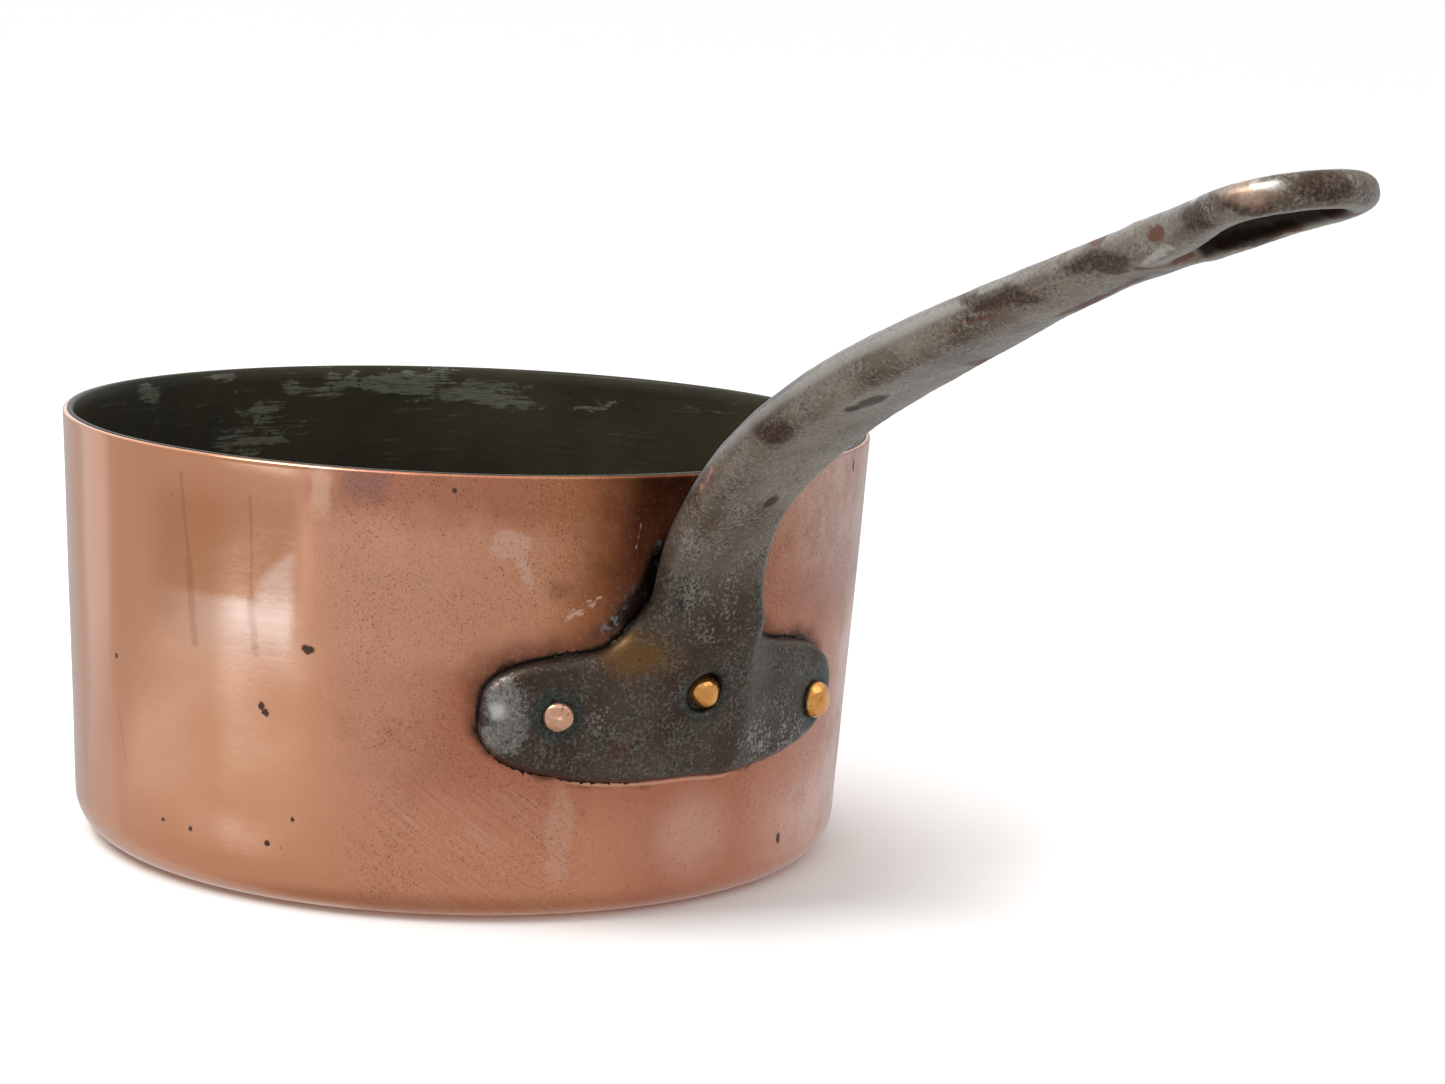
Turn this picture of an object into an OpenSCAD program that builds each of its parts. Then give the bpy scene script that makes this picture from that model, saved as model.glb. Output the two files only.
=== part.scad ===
// Copper saucepan: a tinned copper vessel with a riveted cast-iron handle.
// Origin at the centre of the underside, +Z up, handle along +X.

/* [Vessel] */
// Outside diameter at the rim
rim_d = 200; // [190:1:210]
// Height from the underside to the rim
height = 104.5; // [100:0.5:110]
// Outside diameter where the sloping wall would meet the underside
foot_d = 190; // [188:1:192]
// Outside radius of the corner between base and wall
corner_r = 10; // [7:0.5:13]
// Thickness of the copper wall
wall_t = 2.2; // [1.6:0.1:3]
// Thickness of the copper base
base_t = 2.5; // [1.8:0.1:3.5]
// Thickness of the wiped tin coat
tin_t = 0.3; // [0.2:0.05:0.5]

/* [Handle flange] */
// Thickness of the flange over the wall
flange_t = 4.5; // [3.5:0.25:6]
// Length of the flange along the wall
flange_l = 103; // [96:1:108]
// Height of the middle of the flange
flange_z = 48.8; // [47:0.2:50]
// Height of the flange from its lower to its upper edge
flange_h = 31; // [28:0.5:33]
// Radius of the fillets between the flange and the strap
neck_r = 9; // [6:0.5:11]

/* [Handle strap] */
// Distance of the strap's middle line from the pan's axis at its root
root_x = 104.6; // [104:0.1:105.5]
// Height of the strap's root
root_z = 72; // [70:0.5:74]
// Slope of the strap at its root, in degrees from level
root_slope = 94.5; // [90:0.5:98]
// Slope that the strap settles to, in degrees from level
reach_slope = 21; // [18:0.5:26]
// Length over which the strap bends from the first slope to the second
bend_len = 35; // [30:1:40]
// Length of the strap from its root to the start of the eye
strap_l = 172; // [150:1:180]
// Width of the strap at its root and along its middle
strap_w = 27.4; // [24:0.2:29]
// Width of the strap where the eye begins
strap_end_w = 20.4; // [19:0.2:22]
// Thickness of the strap at its root
root_t = 10.6; // [9:0.2:12]
// Thickness of the strap along its middle
strap_t = 12; // [10:0.2:13]
// Thickness of the strap where the eye begins
strap_end_t = 9.4; // [8:0.2:10]

/* [Hanging eye] */
// Length from the start of the eye to the centre of its round end
eye_l = 43.4; // [38:0.2:48]
// Length over which the arms swing apart before the round end
swing_l = 26; // [22:1:32]
// Radius of the bar's middle line round the end of the eye
eye_r = 12.8; // [11.5:0.1:14]
// Width of the eye's bar, in the plane of the eye
bar_w = 7.8; // [7:0.1:8.6]
// Thickness of the eye's bar, across the plane of the eye
bar_t = 6.8; // [6:0.1:8]
// Slope that the eye flattens to, in degrees from level
eye_slope = 15.5; // [10:0.5:20]

/* [Rivets] */
// Diameter of the rivet shanks
shank_d = 5; // [4:0.25:5.5]
// Diameter of the peened heads outside
head_d = 8; // [7:0.25:9]
// Height of the peened heads outside
head_h = 2.6; // [1.8:0.1:3.2]
// Diameter of the factory heads inside
inner_head_d = 14; // [11:0.5:16]
// Height of the factory heads inside
inner_head_h = 2.6; // [1.8:0.1:3.5]
// Where the hand-set rivets sit round the wall, in degrees from the handle
rivet_turn = [-19.5, 0.9, 24.2]; // [-28:0.05:28]
// Height of each rivet
rivet_z = [50.4, 54.4, 47]; // [44:0.1:56]

/* [Hidden] */

$fn = 180;
LEFT = 0;
MIDDLE = 1;
RIGHT = 2;
COPPER = "#c47a5a";
TIN = "#55584c";
IRON = "#5e574f";

// Cutters run this far past what they cut
cut_clear = 1;

wall_lean = atan((rim_d - foot_d) / 2 / height);
flange_start = rim_d / 4;
flange_end = rim_d / 2 + 14;
rivet_reach = 30;
// Depth of the factory heads' edge in the wall, and clearance round the peened heads
head_embed = wall_t / 2;
seat_gap = 0.5;

strap_step = 5;
web_l = 12;
web_inset = 0.4;
strap_rings = floor((strap_l + web_l) / strap_step - 0.1);
bend_fine = 8;
root_rings = 7;
root_drop = 27;
root_embed = 4;
root_sink = 1;
section_power = 2.8;
section_points = 28;
bar_power = 2.3;
bar_points = 16;
eye_flat_start = 160;
eye_flat_len = 75;
eye_arm_rings = 14;
eye_arc_rings = 22;
eye_overlap = 10;
// Squareness of the flange's corners: upper left, upper right and lower
flange_left_power = 3.4;
flange_right_power = 2.8;
flange_low_power = 2.6;
flange_points = 60;

// ---- vessel ----

// Radius of the sloping wall at height z, with its surface moved inwards by inset
function wall_r(z, inset) = foot_d / 2 + z * tan(wall_lean) - inset / cos(wall_lean);

// Centre of the corner arc of radius r that touches the floor at z = floor_z and the wall
function corner_x(inset, floor_z, r) =
    wall_r(floor_z, inset) - r * (1 - sin(wall_lean)) / cos(wall_lean);

// Half outline of the vessel, filled to the axis: a slab, the corner disc and the wall
module vessel_outline(inset, floor_z, r, top) {
    x = corner_x(inset, floor_z, r);
    touch = [x + r * cos(wall_lean), floor_z + r - r * sin(wall_lean)];
    polygon([[0, floor_z], [x, floor_z], [x, floor_z + r], touch, [wall_r(top, inset), top], [0, top]]);
    intersection() {
        translate([x, floor_z + r]) circle(r);
        translate([x - r, floor_z]) square([2 * r, r]);
    }
}

// Turned so that the seam of the revolved surface lies away from the handle
module vessel_solid(inset, floor_z, r, top) {
    rotate([0, 0, 180]) rotate_extrude() vessel_outline(inset, floor_z, r, top);
}

module outer_form() {
    vessel_solid(0, 0, corner_r, height);
}

// The space inside the copper; it runs past the rim so that it cuts cleanly
module copper_bore(top) {
    vessel_solid(wall_t, base_t, corner_r - wall_t, top);
}

module tin_bore(top) {
    vessel_solid(wall_t + tin_t, base_t + tin_t, corner_r - wall_t - tin_t, top);
}

// Puts children on the outside of the wall at rivet i, their +Z along the outward normal
module at_rivet(i) {
    rotate([0, 0, rivet_turn[i]])
        translate([wall_r(rivet_z[i], 0), 0, rivet_z[i]])
            rotate([0, 90 + wall_lean, 0]) children();
}

module rivet_holes() {
    for (i = [LEFT:RIGHT])
        at_rivet(i) translate([0, 0, -rivet_reach / 2]) cylinder(d = shank_d, h = rivet_reach);
}

module pan_body() {
    color(COPPER) difference() {
        outer_form();
        copper_bore(height + cut_clear);
        rivet_holes();
    }
}

module tin_lining() {
    color(TIN) difference() {
        copper_bore(height);
        difference() {
            tin_bore(height + cut_clear);
            for (i = [LEFT:RIGHT]) at_rivet(i) inner_head(tin_t);
        }
        for (i = [LEFT:RIGHT]) at_rivet(i) inner_head(0);
    }
}

// ---- rivets ----

// Low dome on the plane z = 0, part of a ball that is cut by that plane
module dome(d, h) {
    ball_r = (d * d / 4 + h * h) / (2 * h);
    rotate_extrude() intersection() {
        translate([0, h - ball_r]) circle(ball_r);
        square([d / 2, h]);
    }
}

// Factory head inside the wall, with its outside moved outwards by grow
module inner_head(grow) {
    translate([0, 0, -wall_t])
        mirror([0, 0, 1]) dome(inner_head_d + 2 * grow, inner_head_h + grow);
    translate([0, 0, -wall_t]) cylinder(d = inner_head_d + 2 * grow, h = head_embed);
}

module rivet(i) {
    color(COPPER) {
        at_rivet(i) {
            translate([0, 0, -wall_t - cut_clear])
                cylinder(d = shank_d, h = wall_t + flange_t + cut_clear + head_h / 2);
            translate([0, 0, flange_t]) dome(head_d, head_h);
        }
        intersection() {
            copper_bore(height);
            at_rivet(i) inner_head(0);
        }
    }
}

module rivet_left() { rivet(LEFT); }
module rivet_middle() { rivet(MIDDLE); }
module rivet_right() { rivet(RIGHT); }

// ---- handle ----

function ease(t) = let (c = min(max(t, 0), 1)) c * c * (3 - 2 * c);
function mix(a, b, t) = a + (b - a) * t;
function signed_pow(v, p) = sign(v) * pow(abs(v), p);

// Slope of the middle line at length s from the root
function slope(s) = reach_slope + (root_slope - reach_slope) * exp(-s / bend_len)
    + (eye_slope - reach_slope) * ease((s - eye_flat_start) / eye_flat_len);

// Middle line of the strap and the eye, one point per millimetre from the root
line_len = ceil(strap_l + eye_l + eye_r + bar_w);
middle_line = [for (s = 0, p = [root_x, root_z]; s <= line_len;
    p = p + [cos(slope(s + 0.5)), sin(slope(s + 0.5))], s = s + 1) p];
function line_at(s) = let (i = min(floor(s), line_len - 1))
    mix(middle_line[i], middle_line[i + 1], s - i);

// Rounded section with half sizes a across and b through, as [across, through] points
function section(a, b, power, n) = [for (i = [0:n - 1]) let (t = 360 * i / n)
    [a * signed_pow(cos(t), 2 / power), b * signed_pow(sin(t), 2 / power)]];

// How far along the web, where the strap ends between the arms of the eye, length s lies
function on_web(s) = ease((s - strap_l + eye_overlap) / (eye_overlap + web_l));

// Strap sizes at length s from the root; the web thins until it hides between the arms
function strap_half_w(s) = mix(
    mix(strap_w, strap_end_w, ease(2 * s / strap_l - 1)) / 2, arm_start + 1, on_web(s));
function strap_half_t(s) = mix(
    s < strap_l / 2 ? mix(root_t, strap_t, ease(2 * s / strap_l)) / 2
        : mix(strap_t, strap_end_t, ease(2 * s / strap_l - 1)) / 2,
    bar_t / 2 - web_inset, on_web(s));

// Ring of points across the middle line: centre [x, z], slope of the line, half sizes
function ring(c, angle, a, b) = [for (q = section(a, b, section_power, section_points))
    [c[0] - q[1] * sin(angle), q[0], c[1] + q[1] * cos(angle)]];

function strap_ring(s) = ring(line_at(s), slope(s), strap_half_w(s), strap_half_t(s));

// Upright rings below the root: their outer face sinks from the strap's to the flange's
function root_ring(k) = let (
        t = ease(k / root_rings),
        z = mix(root_z - root_drop, root_z, k / root_rings),
        outer = mix(wall_r(root_z - root_drop, 0) + flange_t - root_sink, root_x + root_t / 2, t),
        inner = mix(wall_r(z, 0) - root_embed, root_x - root_t / 2, t))
    ring([(outer + inner) / 2, z], 90, strap_w / 2, (outer - inner) / 2);

// Closed skin through rings of n points each, with flat ends
module skin(rings, n) {
    m = len(rings);
    sides = [for (i = [0:m - 2], j = [0:n - 1]) let (k = (j + 1) % n)
        [i * n + j, (i + 1) * n + j, (i + 1) * n + k, i * n + k]];
    first = [for (j = [0:n - 1]) j];
    last = [for (j = [n - 1:-1:0]) (m - 1) * n + j];
    polyhedron([for (r = rings) each r], concat([first], sides, [last]));
}

module strap() {
    skin(concat(
        [for (k = [0:root_rings - 1]) root_ring(k)],
        [for (i = [0:2 * bend_fine - 1]) strap_ring(i * strap_step / 2)],
        [for (i = [bend_fine:strap_rings]) strap_ring(i * strap_step)],
        [strap_ring(strap_l + web_l)]), section_points);
}

// Eye: an arm swings out from one edge of the strap, a half round, and the other arm back
arm_start = (strap_end_w - bar_w) / 2;
arms = [for (i = [0:eye_arm_rings - 1]) let (p = mix(-eye_l - eye_overlap, 0, i / eye_arm_rings))
    [p, mix(arm_start, eye_r, ease(p / swing_l + 1))]];
round_end = [for (i = [0:eye_arc_rings]) let (a = 90 - 180 * i / eye_arc_rings)
    [eye_r * cos(a), eye_r * sin(a)]];
eye_path = concat(arms, round_end,
    [for (i = [eye_arm_rings - 1:-1:0]) [arms[i][0], -arms[i][1]]]);

// Direction of the eye's path at point i, in its own plane
function path_way(i) = let (
        a = eye_path[max(i - 1, 0)],
        b = eye_path[min(i + 1, len(eye_path) - 1)])
    (b - a) / norm(b - a);

function bar_ring(i) = let (
        p = eye_path[i],
        s = strap_l + eye_l + p[0],
        c = line_at(s),
        along = [cos(slope(s)), 0, sin(slope(s))],
        up = [-sin(slope(s)), 0, cos(slope(s))],
        way = path_way(i),
        across = -way[1] * along + way[0] * [0, 1, 0])
    [for (q = section(bar_w / 2, bar_t / 2, bar_power, bar_points))
        [c[0], p[1], c[1]] + q[0] * across + q[1] * up];

module eye() {
    skin([for (i = [0:len(eye_path) - 1]) bar_ring(i)], bar_points);
}

// Outline of the flange: squarer above than below, with fillets into the strap
module flange_outline() {
    chord = rim_d / 2 * sin(flange_l / rim_d * 180 / PI);
    half_h = flange_h / 2;
    union() {
        polygon([for (i = [0:flange_points - 1])
            let (
                a = 360 * i / flange_points,
                top_power = cos(a) > 0 ? flange_right_power : flange_left_power,
                p = sin(a) > 0 ? top_power : flange_low_power)
            [chord * signed_pow(cos(a), 2 / p), half_h * signed_pow(sin(a), 2 / p)]]);
        difference() {
            translate([-strap_w / 2 - neck_r, 0]) square([strap_w + 2 * neck_r, half_h + neck_r]);
            for (side = [-1, 1])
                translate([side * (strap_w / 2 + neck_r), half_h + neck_r]) circle(neck_r);
        }
    }
}

// The flange is the outline carried through a shell that follows the wall
module flange() {
    intersection() {
        vessel_solid(-flange_t, -cut_clear, corner_r, height - cut_clear);
        translate([flange_start, 0, flange_z]) rotate([90, 0, 90])
            linear_extrude(flange_end - flange_start) flange_outline();
    }
}

module handle() {
    color(IRON) difference() {
        union() {
            flange();
            strap();
            eye();
        }
        outer_form();
        rivet_holes();
        for (i = [LEFT:RIGHT])
            at_rivet(i) translate([0, 0, flange_t]) cylinder(d = head_d + 2 * seat_gap, h = rivet_reach / 2);
    }
}

pan_body();
tin_lining();
handle();
rivet_left();
rivet_middle();
rivet_right();
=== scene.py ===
import math
from types import SimpleNamespace
import bpy
import numpy as np
from mathutils import Matrix, Vector


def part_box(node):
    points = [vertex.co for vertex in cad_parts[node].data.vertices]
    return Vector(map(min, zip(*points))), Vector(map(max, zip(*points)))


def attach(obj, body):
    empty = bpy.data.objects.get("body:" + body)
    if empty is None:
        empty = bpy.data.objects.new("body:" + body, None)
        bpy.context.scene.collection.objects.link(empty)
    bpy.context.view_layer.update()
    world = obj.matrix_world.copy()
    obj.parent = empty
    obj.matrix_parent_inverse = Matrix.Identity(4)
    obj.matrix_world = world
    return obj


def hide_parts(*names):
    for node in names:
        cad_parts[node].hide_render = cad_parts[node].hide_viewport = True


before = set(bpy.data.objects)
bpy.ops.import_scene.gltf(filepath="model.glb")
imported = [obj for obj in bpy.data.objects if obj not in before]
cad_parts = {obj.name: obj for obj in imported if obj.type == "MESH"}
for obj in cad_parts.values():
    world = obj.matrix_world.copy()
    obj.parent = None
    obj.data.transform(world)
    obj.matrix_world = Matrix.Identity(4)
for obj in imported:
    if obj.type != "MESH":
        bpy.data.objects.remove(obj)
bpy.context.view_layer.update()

# Copper saucepan. Lengths are in millimetres and angles in degrees unless a name says otherwise.
MM = 0.001

# ---- sizes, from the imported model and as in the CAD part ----

RIM_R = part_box("pan_body")[1].x / MM
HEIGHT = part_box("pan_body")[1].z / MM
FOOT_R = 95.0
CORNER_R = 10.0
WALL_T = 2.2
BASE_T = 2.5
TIN_T = 0.3
LEAN = math.atan((RIM_R - FOOT_R) / HEIGHT)

FLANGE_T = 4.5
FLANGE_HALF_L = 51.5
FLANGE_HALF_H = 15.5
FLANGE_Z = 48.8
FLANGE_LEFT_POWER = 3.4
FLANGE_RIGHT_POWER = 2.8
FLANGE_LOW_POWER = 2.6
FLANGE_EDGE_R = 3.1

ROOT_X = 104.6
ROOT_Z = 72.0
ROOT_DROP = 20.0
ROOT_TAIL = 32.0
ROOT_SLOPE = math.radians(94.5)
REACH_SLOPE = math.radians(21)
EYE_SLOPE = math.radians(15.5)
BEND_LEN = 35.0
STRAP_L = 172.0
STRAP_W = 27.4
STRAP_END_W = 20.4
ROOT_T = 10.6
STRAP_T = 11.6
STRAP_END_T = 9.2
WEB_L = 14.0
EYE_L = 43.6
SWING_L = 26.0
EYE_R = 12.8
EYE_OVERLAP = 10.0
BAR_W = 7.8
BAR_T = 6.8
CROTCH_T = 8.6
CROTCH_DROP = 0.25
LINE_END = STRAP_L + EYE_L + EYE_R + BAR_W

SHANK_R = 2.5
# Each rivet's azimuth, height, outer head and the power of its dome; the left head is dimpled
# and the middle one has a flat struck at a tilt
RIVETS = {
    "rivet_left": {"turn": -19.5, "z": 50.4, "head_r": 3.5, "head_h": 1.9, "power": 2.2, "dimple": True},
    "rivet_middle": {"turn": 0.9, "z": 54.4, "head_r": 3.9, "head_h": 3.0, "power": 2.7,
                     "facet": (-0.12, 0.08)},
    "rivet_right": {"turn": 24.2, "z": 47.0, "head_r": 4.6, "head_h": 2.8, "power": 2.5},
}
INNER_HEAD_R = 7.0
INNER_HEAD_H = 2.6


# ---- small maths ----

def ease(t):
    c = np.clip(t, 0, 1)
    return c * c * (3 - 2 * c)


def mix(a, b, t):
    return a + (b - a) * t


def bell(x, middle, width):
    return np.exp(-((x - middle) / width) ** 2)


def smooth_min(a, b, k):
    h = np.clip(0.5 + 0.5 * (b - a) / k, 0, 1)
    return mix(b, a, h) - k * h * (1 - h)


def smooth_max(a, b, k):
    return -smooth_min(-a, -b, k)


def rounded(sides, r):
    """Distance to a rounded box, from the distances past its sides moved in by r."""
    inside = np.minimum(np.maximum.reduce(sides), 0)
    outside = np.sqrt(sum(np.maximum(q, 0) ** 2 for q in sides))
    return inside + outside - r


def waves(points, length, seed, count=20):
    """Smooth seeded noise, about -1 to 1, with features `length` apart."""
    rng = np.random.default_rng(seed)
    ways = rng.normal(size=(count, 3))
    ways *= (rng.uniform(0.6, 1.5, count) * 2 * math.pi / length / np.linalg.norm(ways, axis=1))[:, None]
    phases = rng.uniform(0, 2 * math.pi, count)
    return np.sin(points @ ways.T + phases).sum(1) / math.sqrt(count)


# ---- vessel wall ----

def wall_r(z, inset=0.0):
    """Radius of the sloping wall at height z, with its surface moved inwards."""
    return FOOT_R + z * math.tan(LEAN) - inset / math.cos(LEAN)


def dent(azimuth, z):
    """How far hand work and use have pushed the wall outwards there."""
    p = np.stack([RIM_R * np.cos(azimuth), RIM_R * np.sin(azimuth), z], axis=-1).reshape(-1, 3)
    push = 0.16 * waves(p, 80, 11) + 0.03 * waves(p, 26, 12)
    return push.reshape(np.shape(z)) * ease(z / 22)


def wall_gap(p):
    """Distance of points outside the dented wall."""
    radius = np.hypot(p[:, 0], p[:, 1])
    azimuth = np.arctan2(p[:, 1], p[:, 0])
    return (radius - wall_r(p[:, 2])) * math.cos(LEAN) - dent(azimuth, p[:, 2])


def floor_and_wall(inset, floor_z, corner, heights):
    """Half outline (radius, height) from the axis along the floor, round the corner and up."""
    x = wall_r(floor_z, inset) - corner * (1 - math.sin(LEAN)) / math.cos(LEAN)
    flat = [(x * k / 10, floor_z) for k in range(10)]
    turns = np.linspace(-math.pi / 2, -LEAN, 10)
    arc = [(x + corner * math.cos(a), floor_z + corner + corner * math.sin(a)) for a in turns]
    return flat + arc + [(wall_r(z, inset), z) for z in heights]


def column_angles():
    """Azimuths of the columns, closer together where the handle and its rivets are."""
    near = np.arange(-40, 40, 0.6)
    far = np.arange(40, 320, 1.75)
    return np.radians(np.concatenate([near, far]))


def revolve(outline, angles, push=None):
    """Points and faces of an outline turned round the axis; its two ends lie on the axis."""
    rings = np.array(outline[1:-1])
    rows, columns = len(rings), len(angles)
    radius = np.repeat(rings[:, :1], columns, 1)
    z = np.repeat(rings[:, 1:], columns, 1)
    if push is not None:
        radius = radius + push(np.tile(angles, (rows, 1)), z)
    ring_points = np.stack([radius * np.cos(angles), radius * np.sin(angles), z], axis=-1).reshape(-1, 3)
    points = np.vstack([ring_points, [[0, 0, outline[0][1]], [0, 0, outline[-1][1]]]])
    faces = []
    for j in range(columns):
        k = (j + 1) % columns
        faces.append((rows * columns, k, j))
        faces += [(i * columns + j, i * columns + k, (i + 1) * columns + k, (i + 1) * columns + j)
                  for i in range(rows - 1)]
        last = (rows - 1) * columns
        faces.append((rows * columns + 1, last + j, last + k))
    return points, faces


# ---- rivets ----

def rivet_frame(spec):
    """Point on the bare wall under the head, and the across, up and outward directions."""
    a = math.radians(spec["turn"])
    r = wall_r(spec["z"]) + float(dent(a, spec["z"]))
    origin = np.array([r * math.cos(a), r * math.sin(a), spec["z"]])
    out = np.array([math.cos(LEAN) * math.cos(a), math.cos(LEAN) * math.sin(a), -math.sin(LEAN)])
    across = np.array([-math.sin(a), math.cos(a), 0])
    return origin, across, np.cross(out, across), out


def rivet_coords(p, spec):
    origin, across, up, out = rivet_frame(spec)
    q = p - origin
    return q @ across, q @ up, q @ out


def inner_head_rise(azimuth, z):
    """How far the factory heads stand inwards off the wall, blended into it."""
    rise = np.zeros(np.shape(z))
    for spec in RIVETS.values():
        across = (azimuth - math.radians(spec["turn"])) * wall_r(spec["z"], WALL_T)
        e = np.hypot(across, (z - spec["z"]) / math.cos(LEAN)) / INNER_HEAD_R
        rise = np.maximum(rise, INNER_HEAD_H * np.sqrt(np.clip(1 - e ** 2, 0, 1)))
    return rise


# ---- handle: one field of distances, negative inside the iron ----

def slope(s):
    bend = (ROOT_SLOPE - REACH_SLOPE) * np.exp(-s / BEND_LEN)
    flatten = (EYE_SLOPE - REACH_SLOPE) * ease((s - 160) / 75)
    return REACH_SLOPE + bend + flatten


def root_faces(z):
    """Distance from the axis of the strap's outer and inner face below the root."""
    low = ROOT_Z - ROOT_DROP
    t = ease((z - low) / ROOT_DROP)
    outer = mix(wall_r(low) + FLANGE_T - 1.6, ROOT_X + ROOT_T / 2, t)
    inner = mix(wall_r(z) - 4, ROOT_X - ROOT_T / 2, t)
    return outer, inner


def make_spine():
    """Middle line of the strap: length, x, z, slope and half thickness, every half millimetre."""
    s = np.arange(0, LINE_END + 6, 0.5)
    steps = slope(s[:-1] + 0.25)
    x = ROOT_X + np.concatenate([[0], np.cumsum(np.cos(steps) * 0.5)])
    z = ROOT_Z + np.concatenate([[0], np.cumsum(np.sin(steps) * 0.5)])
    first_half = mix(ROOT_T, STRAP_T, ease(2 * s / STRAP_L))
    second_half = mix(STRAP_T, STRAP_END_T, ease(2 * s / STRAP_L - 1))
    thick = np.where(s < STRAP_L / 2, first_half, second_half) / 2
    tail_s = np.arange(-ROOT_TAIL, 0, 0.5)
    outer, inner = root_faces(ROOT_Z + tail_s)
    tail_slope = np.full(len(tail_s), math.pi / 2)
    return {
        "s": np.concatenate([tail_s, s]),
        "x": np.concatenate([(outer + inner) / 2, x]),
        "z": np.concatenate([ROOT_Z + tail_s, z]),
        "slope": np.concatenate([tail_slope, slope(s)]),
        "half_t": np.concatenate([(outer - inner) / 2, thick]),
    }


SPINE = make_spine()


class SpineMap:
    """Length along the spine and distance outwards from it, for points (x, z) near it."""

    def __init__(self, low, high, step):
        self.low, self.step = np.array(low, float), step
        nx, nz = (int((high[i] - low[i]) / step) + 2 for i in (0, 1))
        x = low[0] + step * np.arange(nx)
        z = low[1] + step * np.arange(nz)
        self.along = np.zeros((nx, nz))
        self.out = np.zeros((nx, nz))
        for i in range(nx):
            dx = x[i] - SPINE["x"][None, :]
            dz = z[:, None] - SPINE["z"][None, :]
            k = np.argmin(dx ** 2 + dz ** 2, axis=1)
            dx, dz = x[i] - SPINE["x"][k], z - SPINE["z"][k]
            c, d = np.cos(SPINE["slope"][k]), np.sin(SPINE["slope"][k])
            self.along[i] = SPINE["s"][k] + dx * c + dz * d
            self.out[i] = dx * d - dz * c

    def __call__(self, x, z):
        fx = np.clip((x - self.low[0]) / self.step, 0, self.along.shape[0] - 1.001)
        fz = np.clip((z - self.low[1]) / self.step, 0, self.along.shape[1] - 1.001)
        i, k = fx.astype(int), fz.astype(int)
        a, b = fx - i, fz - k
        return [
            mix(mix(t[i, k], t[i + 1, k], a), mix(t[i, k + 1], t[i + 1, k + 1], a), b)
            for t in (self.along, self.out)
        ]


HANDLE_LOW = np.array([80.0, -53.0, 31.0])
HANDLE_HIGH = np.array([298.0, 53.0, 191.0])
HANDLE_STEP = 0.75
spine_map = SpineMap((HANDLE_LOW[0] - 4, HANDLE_LOW[2] - 4), (HANDLE_HIGH[0] + 4, HANDLE_HIGH[2] + 4), 0.8)


def strap_distance(s, out, y):
    """The crowned strap, from its tail behind the flange to the web between the eye's arms."""
    half_w = mix(STRAP_W, STRAP_END_W, ease(2 * s / STRAP_L - 1)) / 2
    half_w = half_w - 1.2 * bell(s, 30, 18)
    half_t = np.interp(s, SPINE["s"], SPINE["half_t"])
    end = ease((s - STRAP_L + 8) / 16)
    half_t = mix(half_t, CROTCH_T / 2, end)
    out = out - CROTCH_DROP * end + y ** 2 / 210 * ease((2 - s) / 12)
    round_under = mix(0.15, 0.75, ease((s - 110) / 60)) + 0.25 * ease((2 - s) / 12)
    crown = np.where(out > 0, round_under, 0.07) * (y / half_w) ** 2
    edge = np.minimum(mix(3.4, 4.9, ease((s - 20) / 70)), half_t - 0.3)
    sides = [
        np.abs(y) - (half_w - edge),
        np.abs(out) - (half_t * (1 - crown) - edge),
        np.maximum(s - (STRAP_L + WEB_L), -ROOT_TAIL + 2 - s) + edge,
    ]
    return rounded(sides, edge)


def eye_distance(s, out, y):
    """The bar of the eye: two arms that swing apart and a half round between their ends."""
    p = s - (STRAP_L + EYE_L)
    arm_l = EYE_L + EYE_OVERLAP
    t = np.clip(p / SWING_L + 1, 0, 1)
    start = (STRAP_END_W - BAR_W) / 2
    middle = mix(start, EYE_R, ease(t)) - 1.6 * ease((-p - SWING_L) / 18)
    lean = (EYE_R - start) * 6 * t * (1 - t) / SWING_L
    arm = (np.abs(y) - middle) / np.sqrt(1 + lean ** 2)
    across = np.where(p < 0, arm, np.hypot(p, y) - EYE_R)
    edge = 3.1
    q = p + SWING_L
    begin = ease((q + 10) / 8) * ease((22 - q) / 20)
    half_t = mix(BAR_T, CROTCH_T, begin) / 2 - 1.2 * ease(-(q + 12) / 14)
    out = out - CROTCH_DROP * begin
    sides = [np.abs(across) - (BAR_W / 2 - edge), np.abs(out) - (half_t - edge), -arm_l - p + edge]
    return rounded(sides, edge)


def flange_outline(u, v):
    """Distance inside (negative) the flange's outline and the foot of the strap above it."""
    top_power = np.where(u < 0, FLANGE_LEFT_POWER, FLANGE_RIGHT_POWER)
    power = np.where(v > 0, top_power, FLANGE_LOW_POWER)
    a = np.maximum(np.abs(u) / FLANGE_HALF_L, 1e-6)
    b = np.maximum(np.abs(v) / FLANGE_HALF_H, 1e-6)
    g = (a ** power + b ** power) ** (1 / power)
    steep = g ** (1 - power) * np.hypot(a ** (power - 1) / FLANGE_HALF_L, b ** (power - 1) / FLANGE_HALF_H)
    foot = smooth_max(np.abs(u) - STRAP_W / 2 + 1.2, np.abs(v - 10) - 10, 5)
    return smooth_min((g - 1) / steep, foot, mix(18, 5, ease(u / 12 + 0.5)))


def flange_distance(p, gap):
    """The flange: a plate with rounded edges, bent round the wall."""
    inward = flange_outline(np.arctan2(p[:, 1], p[:, 0]) * RIM_R, p[:, 2] - FLANGE_Z)
    back = 3.0
    middle, half = (FLANGE_T - back) / 2, (FLANGE_T + back) / 2
    pillow = 0.6 * ease(-inward / 10) - 0.4
    sides = [inward + FLANGE_EDGE_R, np.abs(gap - middle) - (half + pillow - FLANGE_EDGE_R)]
    return rounded(sides, FLANGE_EDGE_R)


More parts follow.
